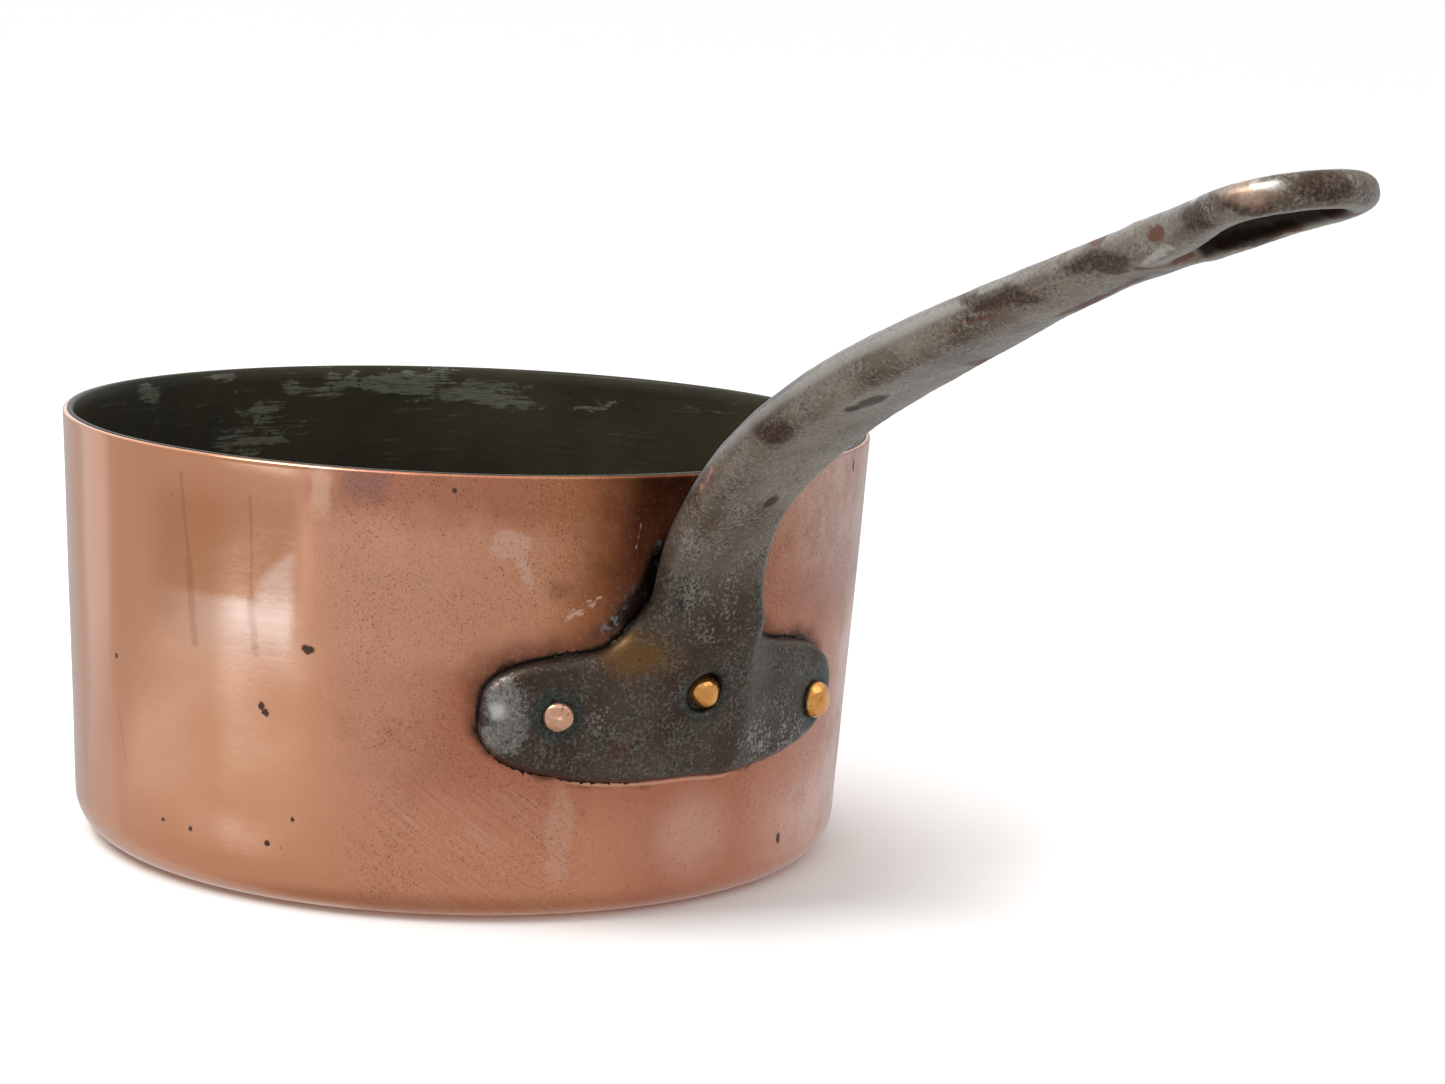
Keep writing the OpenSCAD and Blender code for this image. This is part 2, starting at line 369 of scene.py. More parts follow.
# Sunk seats round the heads: radius, sideways and upward shift, softness of the edge
SEATS = {
    "rivet_left": (3.9, -0.3, 0.45, 0.8),
    "rivet_middle": (4.7, -0.75, 0.3, 1.6),
    "rivet_right": (4.9, -1.0, 0.2, 1.0),
}


def raw_handle(p):
    """Distance to the iron before the wall is cut away, without the caked dirt at its edge."""
    gap = wall_gap(p)
    s, out = spine_map(p[:, 0], p[:, 2])
    d = smooth_min(strap_distance(s, out, p[:, 1]), eye_distance(s, out, p[:, 1]), 2.2)
    d = smooth_min(d, flange_distance(p, gap), mix(9.0, 15.0, ease(p[:, 1] / 12)))
    for name, spec in RIVETS.items():
        seat_r, aside, above, soft = SEATS[name]
        across, up, rise = rivet_coords(p, spec)
        e = np.hypot(across - aside, up - above)
        d = smooth_max(d, -np.maximum(e - seat_r, FLANGE_T - 0.3 - rise), soft)
        d = np.maximum(d, SHANK_R - np.hypot(across, up))
    return d, gap


def handle_field(p):
    """Distance to the iron with a thin bead of caked dirt where its edge meets the wall."""
    d, gap = raw_handle(p)
    bead = 1.5 + 0.9 * waves(p, 17, 31, 8)
    d = smooth_min(d, gap, np.clip(bead, 0.3, 3.0))
    return np.maximum(d, 0.03 - gap)


# ---- quads over the zero set of a field ----

def in_chunks(field, p, size=200000):
    return np.concatenate([field(p[i:i + size]) for i in range(0, len(p), size)])


def sample_band(field, low, high, step, refine):
    """Values on a fine grid: exact near the surface, only the right sign elsewhere."""
    coarse = step * refine
    counts = np.ceil((high - low) / coarse).astype(int)
    axes = [low[i] + coarse * (np.arange(counts[i]) + 0.5) for i in range(3)]
    centres = np.stack(np.meshgrid(*axes, indexing="ij"), axis=-1)
    rough = in_chunks(field, centres.reshape(-1, 3)).reshape(counts)
    near = np.abs(rough) < coarse * 1.25
    values = np.where(rough < 0, -coarse, coarse).astype(np.float32)
    mask = near
    for axis in range(3):
        values = np.repeat(values, refine, axis)
        mask = np.repeat(mask, refine, axis)
    values = np.pad(values, ((0, 1),) * 3, mode="edge")
    mask = np.pad(mask, ((0, 1),) * 3, mode="constant")
    for axis in range(3):
        mask = mask | np.roll(mask, 1, axis)
    nodes = np.argwhere(mask)
    values[tuple(nodes.T)] = in_chunks(field, low + nodes * step)
    return values


def corner_slice(values, corner):
    """The values at one corner of every cell."""
    return values[tuple(slice(c, n - 1 + c) for c, n in zip(corner, values.shape))]


CELL_CORNERS = [(i, j, k) for i in (0, 1) for j in (0, 1) for k in (0, 1)]


def net_points(values, cells):
    """The mean place, in each cell, of the surface's crossings of the cell's edges."""
    total = np.zeros((len(cells), 3))
    crossings = np.zeros(len(cells))
    for axis in range(3):
        for c in CELL_CORNERS:
            if c[axis]:
                continue
            end = np.array(c)
            end[axis] = 1
            v0 = values[tuple((cells + c).T)]
            v1 = values[tuple((cells + end).T)]
            crosses = (v0 < 0) != (v1 < 0)
            t = np.where(crosses, v0 / np.where(crosses, v0 - v1, 1), 0)
            place = np.array(c) + t[:, None] * (end - np.array(c))
            total += np.where(crosses[:, None], place, 0)
            crossings += crosses
    return cells + total / crossings[:, None]


def net_quads(inside, index):
    """A quad round every edge of the grid that the surface crosses, facing outwards."""
    quads = []
    for axis in range(3):
        b, c = (axis + 1) % 3, (axis + 2) % 3
        along = [slice(1, -1)] * 3
        along[axis] = slice(0, -1)
        ahead = list(along)
        ahead[axis] = slice(1, None)
        first, second = inside[tuple(along)], inside[tuple(ahead)]
        edges = np.argwhere(first != second)
        offset = np.ones(3, int)
        offset[axis] = 0
        leaves = first[tuple(edges.T)]
        edges = edges + offset
        ring = []
        for db, dc in ((0, 0), (1, 0), (1, 1), (0, 1)):
            cell = edges.copy()
            cell[:, b] -= 1 - db
            cell[:, c] -= 1 - dc
            ring.append(index[tuple(cell.T)])
        quad = np.stack(ring, axis=1)
        quads.append(np.where(leaves[:, None], quad, quad[:, ::-1]))
    return np.concatenate(quads)


def surface_net(field, low, high, step, refine=4):
    """Points and quads over the field's zero surface, with a point in every cell it crosses."""
    values = sample_band(field, low, high, step, refine)
    inside = values < 0
    count = sum(corner_slice(inside, c).astype(np.uint8) for c in CELL_CORNERS)
    cells = np.argwhere((count > 0) & (count < 8))
    index = np.full(count.shape, -1, np.int32)
    index[tuple(cells.T)] = np.arange(len(cells))
    points = low + net_points(values, cells) * step
    return keep_largest(*part_sheets(points, net_quads(inside, index)))


def keep_largest(points, quads):
    """Drops crumbs that hang loose beside the main surface."""
    a, b = quads.ravel(), np.roll(quads, -1, axis=1).ravel()
    label, last = np.arange(len(points)), None
    while not np.array_equal(label, last):
        last = label
        label = last.copy()
        low = np.minimum(last[a], last[b])
        np.minimum.at(label, a, low)
        np.minimum.at(label, b, low)
        label = label[label]
    kept = label == np.bincount(label).argmax()
    index = np.cumsum(kept) - 1
    return points[kept], index[quads[kept[quads[:, 0]]]]


def part_sheets(points, quads):
    """Gives each sheet its own points where two sheets of the net touch along an edge."""
    sides = np.sort(np.stack([quads, np.roll(quads, -1, axis=1)], axis=-1), axis=-1).reshape(-1, 2)
    pairs, counts = np.unique(sides, axis=0, return_counts=True)
    points, quads = list(points), quads.copy()
    for v in np.unique(pairs[counts > 2]):
        places = np.argwhere(quads == v)
        ends = [(quads[row, (corner + 1) % 4], quads[row, corner - 1]) for row, corner in places]
        all_ends = [w for pair in ends for w in pair]
        sheet = list(range(len(places)))
        first_at = {}
        for i, pair in enumerate(ends):
            for w in pair:
                if all_ends.count(w) == 2:
                    old, new = sheet[i], sheet[first_at.setdefault(w, i)]
                    sheet = [new if s == old else s for s in sheet]
        for other in sorted(set(sheet) - {sheet[0]}):
            for (row, corner), s in zip(places, sheet):
                if s == other:
                    quads[row, corner] = len(points)
            points.append(points[v])
    return np.array(points), quads


def gradient(field, p, h=0.15):
    moves = [np.array([h if i == k else 0 for i in range(3)]) for k in range(3)]
    return np.stack([(in_chunks(field, p + m) - in_chunks(field, p - m)) / (2 * h) for m in moves], axis=1)


def settle(field, points, quads, step, rounds=3):
    """Evens out the net and puts its points on the surface; returns them and their normals."""
    a = quads.ravel()
    b = np.roll(quads, -1, axis=1).ravel()
    ends = np.concatenate([a, b])
    others = np.concatenate([b, a])
    degree = np.maximum(np.bincount(ends, minlength=len(points)), 1)
    for _ in range(rounds):
        sums = [np.bincount(ends, points[others, i], len(points)) for i in range(3)]
        mean = np.stack(sums, axis=1) / degree[:, None]
        points = mix(points, mean, 0.5)
        g = gradient(field, points)
        size = np.maximum(np.linalg.norm(g, axis=1, keepdims=True), 0.3)
        move = in_chunks(field, points)[:, None] * g / size ** 2
        length = np.maximum(np.linalg.norm(move, axis=1, keepdims=True), 1e-9)
        points = points - move * np.minimum(1, 0.8 * step / length)
    return points, g / size


# ---- Blender meshes ----

def make_mesh(name, points, faces):
    """A smooth-shaded mesh in metres with its faces turned outwards."""
    points = np.asarray(points, float)
    faces = [tuple(f) for f in (faces.tolist() if isinstance(faces, np.ndarray) else faces)]
    fans = np.array([(f[0], f[i], f[i + 1]) for f in faces for i in range(1, len(f) - 1)])
    a, b, c = (points[fans[:, i]] for i in range(3))
    if np.einsum("ij,ij->i", a, np.cross(b, c)).sum() < 0:
        faces = [f[::-1] for f in faces]
    mesh = bpy.data.meshes.new(name)
    mesh.from_pydata((points * MM).tolist(), [], faces)
    mesh.polygons.foreach_set("use_smooth", [True] * len(mesh.polygons))
    mesh.validate()
    return mesh


def make_object(name, mesh):
    thing = bpy.data.objects.new(name, mesh)
    bpy.context.scene.collection.objects.link(thing)
    return thing


def store(mesh, name, values):
    """Keeps one number per point for the material."""
    layer = mesh.attributes.new(name, "FLOAT", "POINT")
    layer.data.foreach_set("value", np.asarray(values, np.float32))


def mesh_points(mesh):
    co = np.zeros(len(mesh.vertices) * 3, np.float32)
    mesh.vertices.foreach_get("co", co)
    return co.reshape(-1, 3).astype(float) / MM


def stand_for(piece, node, material):
    """The piece takes the CAD node's place, moves with the pan and has its finish."""
    piece.data.materials.append(material)
    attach(piece, "root")
    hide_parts(node)


def cut_holes(mesh, name):
    """Cuts the shank holes of the rivets through a mesh."""
    turns = np.linspace(0, 2 * math.pi, 41)[:-1] + 0.05
    points, faces = [], []
    for spec in RIVETS.values():
        origin, across, up, out = rivet_frame(spec)
        base = len(points)
        circle = [origin + SHANK_R * (math.cos(a) * across + math.sin(a) * up) for a in turns]
        for depth in (-8, 8):
            points += [place + depth * out for place in circle]
        n = len(turns)
        faces += [(base + i, base + (i + 1) % n, base + n + (i + 1) % n, base + n + i) for i in range(n)]
        faces += [tuple(base + i for i in range(n - 1, -1, -1)), tuple(base + n + i for i in range(n))]
    cutter = make_object("cutter", make_mesh("cutter", points, faces))
    blank = make_object("blank", mesh)
    cut = blank.modifiers.new("cut", "BOOLEAN")
    cut.operation = "DIFFERENCE"
    cut.solver = "EXACT"
    cut.object = cutter
    graph = bpy.context.evaluated_depsgraph_get()
    result = bpy.data.meshes.new_from_object(blank.evaluated_get(graph))
    result.name = name
    for thing in (blank, cutter):
        old = thing.data
        bpy.data.objects.remove(thing)
        bpy.data.meshes.remove(old)
    return result


# ---- pieces ----

def wall_heights(low, high):
    """Heights of the rows up the wall, closer together round the flange."""
    band = np.arange(low + 2, high - 2, 1.25)
    return [low] + list(band) + [high]


def copper_vessel():
    """The wall and floor in one turned outline with a rounded lip, dented and with rivet holes."""
    rows = wall_heights(12, HEIGHT - 1.2)
    outer = floor_and_wall(0, 0, CORNER_R, rows)
    inner = floor_and_wall(WALL_T, BASE_T, CORNER_R - WALL_T, rows)
    lip_r = 0.6
    lip_x, lip_in = wall_r(HEIGHT) - lip_r, wall_r(HEIGHT, WALL_T) + 0.7
    lip = [(lip_x + lip_r * math.cos(a), HEIGHT - lip_r + lip_r * math.sin(a))
           for a in np.linspace(0, math.pi / 2, 5)]
    lip += [(lip_in, HEIGHT), (lip_in - 0.35, HEIGHT - 0.15), (lip_in - 0.5, HEIGHT - 0.5)]
    outline = outer + lip + inner[::-1]
    points, faces = revolve(outline, column_angles(), dent)
    mesh = cut_holes(make_mesh("copper_blank", points, faces), "copper_vessel")
    mesh.polygons.foreach_set("use_smooth", [True] * len(mesh.polygons))
    store(mesh, "handle_gap", in_chunks(lambda p: raw_handle(p)[0], mesh_points(mesh)))
    return make_object("copper_vessel", mesh)


def tin_coat():
    """The lining: a thin coat that also covers the inner heads of the rivets."""
    rows = wall_heights(14, HEIGHT - 0.5)
    bed = floor_and_wall(WALL_T, BASE_T, CORNER_R - WALL_T, rows)
    face = floor_and_wall(WALL_T + TIN_T, BASE_T + TIN_T, CORNER_R - WALL_T - TIN_T, rows)
    over = wall_r(HEIGHT) - 1.0
    bed += [(over, HEIGHT - 0.08)]
    face += [(wall_r(HEIGHT, WALL_T) + 0.1, HEIGHT + 0.12), (over, HEIGHT + 0.12)]

    def push(azimuth, z):
        turned = np.where(azimuth > math.pi, azimuth - 2 * math.pi, azimuth)
        return dent(azimuth, z) - inner_head_rise(turned, z)

    points, faces = revolve(bed + face[::-1], column_angles(), push)
    return make_object("tin_coat", make_mesh("tin_coat", points, faces))


def iron_handle():
    """The handle's field turned into a mesh, with casting lumps and masks for its finish."""
    points, quads = surface_net(handle_field, HANDLE_LOW, HANDLE_HIGH, HANDLE_STEP)
    points, normals = settle(handle_field, points, quads, HANDLE_STEP)
    d, gap = raw_handle(points)
    free = ease((gap - 0.4) / 1.5)
    lumps = 0.09 * waves(points, 38, 41) + 0.05 * waves(points, 13, 42) + 0.025 * waves(points, 5, 43)
    points = points + normals * (lumps * free)[:, None]
    mesh = make_mesh("iron_handle", points, quads)
    along, out = spine_map(points[:, 0], points[:, 2])
    eye_p = along - STRAP_L - EYE_L
    swing = mix((STRAP_END_W - BAR_W) / 2, EYE_R, ease(eye_p / SWING_L + 1))
    inner = np.where(eye_p < 0, swing - np.abs(points[:, 1]), EYE_R - np.hypot(eye_p, points[:, 1]))
    # Mask of the inside of the eye, where shade is painted
    store(mesh, "inside_eye", ease((inner - 0.8) / 2.6) * ease((along - STRAP_L - WEB_L) / 3))
    store(mesh, "grime", ease((d + 0.35) / 0.5) * (1 - ease(gap / 4)))
    store(mesh, "along", along)
    store(mesh, "outward", out)
    return make_object("iron_handle", mesh)


def rivet_outline(spec):
    """Half outline (radius, height over the bare wall) from the inner head's top to the outer's."""
    dome = np.linspace(0, math.pi / 2, 12)
    under = INNER_HEAD_R - 0.25
    inner = [(under * math.sin(a), -WALL_T - (INNER_HEAD_H - 0.2) * math.cos(a)) for a in dome]
    neck = [(SHANK_R - 0.03, -WALL_T), (SHANK_R - 0.03, FLANGE_T - 0.2)]
    k = 2 / spec["power"]
    outer = [(spec["head_r"] * math.cos(a) ** k, FLANGE_T - 0.2 + (spec["head_h"] + 0.2) * math.sin(a) ** k)
             for a in np.linspace(0, math.pi / 2, 14)]
    outer[-1] = (0, outer[-1][1])
    rim = [(spec["head_r"] - 0.5, FLANGE_T - 0.45)]
    return inner + neck + rim + outer


def hammered(spec, number, p):
    """Hammer marks on the outer head, in its own frame."""
    top = ease((p[:, 2] - FLANGE_T) / 1.5)
    lumps = 0.16 * waves(p, 5.5, 60 + number) + 0.07 * waves(p, 2.4, 70 + number)
    moved = p.copy()
    swell = 1 + 0.06 * waves(p * [1, 1, 0], 9, 80 + number) * ease((p[:, 2] - FLANGE_T + 0.5) / 0.5)
    moved[:, :2] *= swell[:, None]
    moved[:, 2] += lumps * top
    if spec.get("dimple"):
        moved[:, 2] -= 0.55 * bell(np.hypot(p[:, 0] - 0.5, p[:, 1] - 0.9), 0, 1.0) * top
    if spec.get("facet"):
        tilt = p[:, 0] * spec["facet"][0] + p[:, 1] * spec["facet"][1]
        flat = FLANGE_T + spec["head_h"] - tilt
        moved[:, 2] = np.where(top > 0, np.minimum(moved[:, 2], flat), moved[:, 2])
    return moved


def rivet(name, number):
    spec = RIVETS[name]
    points, faces = revolve(rivet_outline(spec), np.radians(np.arange(0, 360, 7.5)))
    points = hammered(spec, number, points)
    curve_r = np.where(points[:, 2] > 0, RIM_R + FLANGE_T, RIM_R - WALL_T)
    points[:, 2] -= points[:, 0] ** 2 / (2 * curve_r)
    origin, across, up, out = rivet_frame(spec)
    placed = origin + points @ np.stack([across, up, out])
    return make_object(name + "_copper", make_mesh(name + "_copper", placed, faces))


# ---- node graphs ----

class Graph:
    """Short calls that add nodes to a material's or the world's tree."""

    def __init__(self, tree):
        self.tree = tree
        tree.nodes.clear()

    def node(self, kind, inputs=None, **settings):
        """A new node, with numbers or other nodes' sockets fed to its inputs."""
        node = self.tree.nodes.new(kind)
        for key, value in settings.items():
            setattr(node, key, value)
        for key, value in (inputs or {}).items():
            if isinstance(value, bpy.types.NodeSocket):
                self.tree.links.new(value, node.inputs[key])
            elif value is not None:
                node.inputs[key].default_value = value
        return node

    def math(self, operation, a, b=None):
        return self.node("ShaderNodeMath", {0: a, 1: b}, operation=operation).outputs[0]

    def add(self, a, b):
        return self.math("ADD", a, b)

    def times(self, *values):
        result = values[0]
        for value in values[1:]:
            result = self.math("MULTIPLY", result, value)
        return result

    def sway(self, noise, amount):
        """Noise moved to lie evenly about 0, times an amount."""
        return self.times(self.add(noise, -0.5), amount)

    def most(self, *values):
        result = values[0]
        for value in values[1:]:
            result = self.math("MAXIMUM", result, value)
        return result

    def ramp(self, value, low, high, start=0.0, end=1.0):
        """Runs smoothly from start to end as the value goes from low to high."""
        inputs = dict(enumerate((value, low, high, start, end)))
        return self.node("ShaderNodeMapRange", inputs, interpolation_type="SMOOTHSTEP").outputs[0]

    def fall(self, value, low, high):
        """Runs smoothly from 1 to 0 as the value goes from low to high."""
        return self.ramp(value, low, high, 1.0, 0.0)

    def window(self, value, low, high, soft):
        """1 between low and high, with soft edges."""
        rise = self.ramp(value, low - soft, low + soft)
        return self.times(rise, self.fall(value, high - soft, high + soft))

    def vector(self, operation, a, b=None, scale=None):
        node = self.node("ShaderNodeVectorMath", {0: a, 1: b, 3: scale}, operation=operation)
        return node.outputs[1] if operation in ("LENGTH", "DOT_PRODUCT") else node.outputs[0]

    def split(self, p):
        """The x, y and z of coordinates."""
        return self.node("ShaderNodeSeparateXYZ", {0: p}).outputs

    def azimuth(self, x, y):
        return self.times(self.math("ARCTAN2", y, x), 180 / math.pi)

    def colour(self, mask, a, b):
        """Goes from colour a to colour b as the mask goes from 0 to 1."""
        a, b = (c if isinstance(c, bpy.types.NodeSocket) else (*c, 1) for c in (a, b))
        node = self.node("ShaderNodeMix", {0: mask, 6: a, 7: b}, data_type="RGBA", clamp_factor=True)
        return node.outputs[2]

    def over(self, colour, tint, mask, share):
        """The colour with a share of a tint over it where the mask is 1."""
        return self.colour(self.times(mask, share), colour, tint)

    def noise(self, p, size, detail=3.0, rough=0.55, output=0):
        """Noise with features about `size` mm across."""
        inputs = {"Vector": p, "Scale": 1 / size, "Detail": detail, "Roughness": rough}
        return self.node("ShaderNodeTexNoise", inputs).outputs[output]

    def object_mm(self):
        coords = self.node("ShaderNodeTexCoord").outputs["Object"]
        return self.vector("SCALE", coords, scale=1 / MM)

    def stretch(self, p, x, y, z):
        return self.vector("MULTIPLY", p, (x, y, z))

    def warp(self, p, size, amount):
        """Coordinates pushed about, so that masks get ragged edges."""
        swirl = self.vector("SUBTRACT", self.noise(p, size, 2.0, output=1), (0.5, 0.5, 0.5))
        return self.vector("ADD", p, self.vector("SCALE", swirl, scale=2 * amount))

    def blob(self, p, centre, radii, soft=0.25):
        """1 inside an ellipsoid round a place, 0 well outside it."""
        offset = self.vector("SUBTRACT", p, tuple(centre))
        distance = self.vector("LENGTH", self.vector("DIVIDE", offset, tuple(radii)))
        return self.fall(distance, 1 - soft, 1 + soft)

    def stroke(self, p, start, end, half_w):
        """1 within half_w of a line between two places, fading at its edge."""
        way = Vector(end) - Vector(start)
        offset = self.vector("SUBTRACT", p, tuple(start))
        share = self.vector("DOT_PRODUCT", offset, tuple(way / way.length_squared))
        share = self.math("MAXIMUM", self.math("MINIMUM", share, 1.0), 0.0)
        nearest = self.vector("SCALE", tuple(way), scale=share)
        away = self.vector("LENGTH", self.vector("SUBTRACT", offset, nearest))
        return self.fall(away, half_w * 0.5, half_w * 1.8)

    def pits(self, p, size, share, radius):
        """Round dots in a share of the cells of a Voronoi pattern."""
        cells = self.node("ShaderNodeTexVoronoi", {"Vector": p, "Scale": 1 / size}).outputs
        chance = self.node("ShaderNodeSeparateColor", {0: cells["Color"]}).outputs[0]
        chosen = self.ramp(chance, self.add(1.0, self.times(share, -1.0)), 1.0)
        return self.math("LESS_THAN", cells["Distance"], self.times(chosen, radius / size))

    def attribute(self, name):
        return self.node("ShaderNodeAttribute", attribute_name=name).outputs["Fac"]

    def bump(self, height, distance_mm, strength):
        inputs = {"Strength": strength, "Distance": distance_mm * MM, "Height": height}
        return self.node("ShaderNodeBump", inputs).outputs[0]

    def surface(self, colour, metallic, roughness, normal, **constants):
        inputs = {"Base Color": colour, "Metallic": metallic, "Roughness": roughness, "Normal": normal}
        inputs.update((key.replace("_", " "), value) for key, value in constants.items())
        shader = self.node("ShaderNodeBsdfPrincipled", inputs)
        self.node("ShaderNodeOutputMaterial", {0: shader.outputs[0]})


def new_material(name):
    material = bpy.data.materials.new(name)
    material.use_nodes = True
    return material, Graph(material.node_tree)


def on_wall(azimuth, z, inset=0.0):
    """Point in millimetres on the wall at an azimuth in degrees."""
    a = math.radians(azimuth)
    return (wall_r(z, inset) * math.cos(a), wall_r(z, inset) * math.sin(a), z)


# ---- materials ----

COPPER_CLEAN = (0.92, 0.425, 0.238)
COPPER_PINK = (0.80, 0.37, 0.245)
COPPER_HIGHLIGHT = (0.96, 0.50, 0.33)
COPPER_PALE = (0.93, 0.62, 0.50)
COPPER_WARM = (0.88, 0.38, 0.20)
COPPER_ORANGE = (0.60, 0.215, 0.08)
COPPER_PURPLE = (0.36, 0.18, 0.17)
# Rubbed copper, also the colour of painted highlights
COPPER_POLISHED_HIGHLIGHT = (1.0, 0.56, 0.38)
COPPER_TAN = (0.74, 0.31, 0.155)
COPPER_RED = (0.55, 0.19, 0.105)
COPPER_OCHRE = (0.46, 0.165, 0.055)
COPPER_BROWN = (0.13, 0.036, 0.013)
COPPER_DARK = (0.035, 0.018, 0.013)
SOOT_HIGHLIGHT = (0.30, 0.36, 0.40)

# Dark spots on the copper: azimuth, height, half width, half height
COPPER_SPOTS = (
    (-52.6, 62.3, 1.6, 1.0), (-59.6, 47.6, 0.9, 1.0), (-59.0, 46.2, 1.0, 1.0), (-77.4, 15.7, 0.6, 0.5),
    (-71.9, 15.3, 0.8, 0.7), (-58.8, 15.4, 0.8, 0.7), (-54.8, 22.0, 0.6, 0.5), (21.9, 12.5, 0.9, 1.4),
    (36.4, 100.7, 0.7, 1.7), (-33.6, 101.0, 0.6, 0.6), (-88.0, 52.0, 0.7, 0.7),
    (60.0, 70.0, 1.1, 0.9), (85.0, 33.0, 1.4, 1.0),
    (120.0, 58.0, 1.2, 1.4), (150.0, 24.0, 1.6, 1.0), (175.0, 80.0, 1.0, 1.2), (-140.0, 40.0, 1.3, 1.0),
    (-160.0, 66.0, 1.0, 0.8), (-115.0, 78.0, 0.9, 1.1),
)
# Thin marks on the copper: from azimuth and height, to azimuth and height, half width. The upright lines
# near azimuths -71 and -61 are partly painted reflections.
COPPER_LINES_AND_REFLECTIONS = (
    (24.6, 85.0, 23.6, 75.5, 0.16), (-72.6, 99.0, -71.4, 79.0, 0.4), (-71.4, 79.0, -70.6, 60.0, 0.9),
    (-61.0, 96.0, -61.1, 72.0, 0.4), (-61.1, 72.0, -60.4, 60.0, 0.9), (-71.4, 84.0, -70.8, 61.0, 0.25),
    (-61.1, 82.0, -60.6, 63.0, 0.25),
    (-88.0, 40.0, -86.0, 26.0, 0.2), (55.0, 90.0, 58.0, 66.0, 0.25), (-150.0, 88.0, -147.0, 60.0, 0.25),
)
COPPER_SCRATCHES = (
    (-18.6, 71.5, -13.8, 76.8, 0.26), (-18.0, 73.5, -15.0, 76.4, 0.2), (-18.2, 72.6, -14.6, 75.4, 0.3),
    (-16.8, 72.8, -14.0, 75.6, 0.2), (-9.2, 88.0, -8.6, 94.0, 0.2), (-26.0, 87.5, -25.2, 90.3, 0.16),
    (100.0, 50.0, 108.0, 61.0, 0.2), (-120.0, 45.0, -113.0, 38.0, 0.18), (165.0, 90.0, 171.0, 84.0, 0.2),
)


def line_marks(g, p, lines):
    return g.most(*(
        g.stroke(p, on_wall(azimuth_a, z_a), on_wall(azimuth_b, z_b), half_w)
        for azimuth_a, z_a, azimuth_b, z_b, half_w in lines
    ))


def spot_marks(g, p, spots):
    return g.most(*(
        g.blob(p, on_wall(azimuth, z), (half_w, half_w, half_h))
        for azimuth, z, half_w, half_h in spots
    ))


def polished_highlight_patch(g, azimuth, z):
    """1 in the brightest patch, rubbed copper with a painted highlight over it: a low wide foot with a horn
    that rises at its right.
    """
    foot = g.times(g.ramp(azimuth, -84, -62), g.fall(azimuth, -56.2, -54.6))
    foot = g.times(foot, g.times(g.ramp(z, 52, 67), g.fall(z, 70.4, 73.4)))
    t = g.times(g.add(z, -72.0), 1 / 14.8)
    lean = g.add(g.add(azimuth, 61.0), g.times(t, t, -7.9))
    horn = g.times(g.ramp(lean, -0.6, 2.0), g.fall(azimuth, -55.8, -54.0))
    return g.most(foot, g.times(horn, g.times(g.ramp(z, 58, 66), g.fall(z, 84.5, 88.0))))


def brushed(g, azimuth, z):
    """Fine slanting marks of a scouring cloth."""
    run = g.times(azimuth, 1.7)
    along = g.times(g.add(g.times(run, 0.8), g.times(z, -0.6)), 0.05)
    across = g.times(g.add(g.times(run, 0.6), g.times(z, 0.8)), 1.3)
    flow = g.node("ShaderNodeCombineXYZ", {0: along, 1: across})
    return g.noise(flow.outputs[0], 1.0, 3.0, 0.6)


def copper_inputs(g):
    """Coordinates and noises that the layers of the copper's finish share."""
    w = SimpleNamespace(p=g.object_mm(), gap=g.attribute("handle_gap"))
    x, y, w.z = g.split(w.p)
    w.azimuth = g.azimuth(x, y)
    w.torn = g.warp(w.p, 1.8, 0.7)
    w.worn_edge = g.warp(g.warp(w.p, 7, 2.4), 1.6, 0.8)
    w.jagged = g.warp(g.warp(w.p, 4, 2.2), 1.2, 0.7)
    w.broad = g.noise(w.p, 42, 4.0, 0.6)
    w.mottle = g.noise(w.p, 13, 5.0, 0.65)
    w.fine = g.noise(w.p, 1.3, 4.0, 0.7)
    w.cloud = g.noise(w.worn_edge, 19, 3.0, 0.6)
    w.lines = g.noise(g.stretch(w.p, 0.05, 0.05, 2.2), 1.6, 2.0)
    haze = g.ramp(g.add(w.azimuth, g.sway(w.broad, 20.0)), -56, -40)
    w.haze = g.times(haze, g.fall(w.azimuth, 95, 175))
    return w


def copper_ground(g, w):
    """Worn bright on the side away from the handle, hazed near it, with a painted highlight in its brightest
    patch and a painted reflection right of the stem.
    """
    wobble = g.add(g.sway(w.mottle, 3.0), g.sway(w.fine, 1.6))
    # Painted highlight laid over the rubbed patch
    polished_and_highlight = polished_highlight_patch(g, g.add(w.azimuth, g.times(wobble, 0.6)), g.add(w.z, wobble))
    beside = g.times(g.window(w.azimuth, -78, -46, 4), g.window(w.z, 62, 96, 6))
    colour = g.colour(g.times(beside, 0.8), COPPER_CLEAN, COPPER_TAN)
    colour = g.colour(polished_and_highlight, colour, COPPER_POLISHED_HIGHLIGHT)
    colour = g.colour(w.haze, colour, COPPER_PINK)
    # Painted reflection: lighter right of the stem, where the backdrop is reflected at a grazing angle; the
    # lighter mottling elsewhere is the metal's own.
    right_side_reflection = g.ramp(g.add(w.azimuth, g.times(w.mottle, 8.0)), 14, 34)
    pale_and_reflection = g.most(g.times(g.ramp(w.mottle, 0.5, 0.66), 0.3), right_side_reflection)
    colour = g.over(colour, COPPER_PALE, pale_and_reflection, g.times(w.haze, 0.72))
    colour = g.over(colour, COPPER_RED, g.ramp(w.mottle, 0.45, 0.7), g.times(w.haze, 0.42))
    return g.over(colour, COPPER_OCHRE, g.ramp(w.cloud, 0.5, 0.66), g.times(w.haze, 0.3))


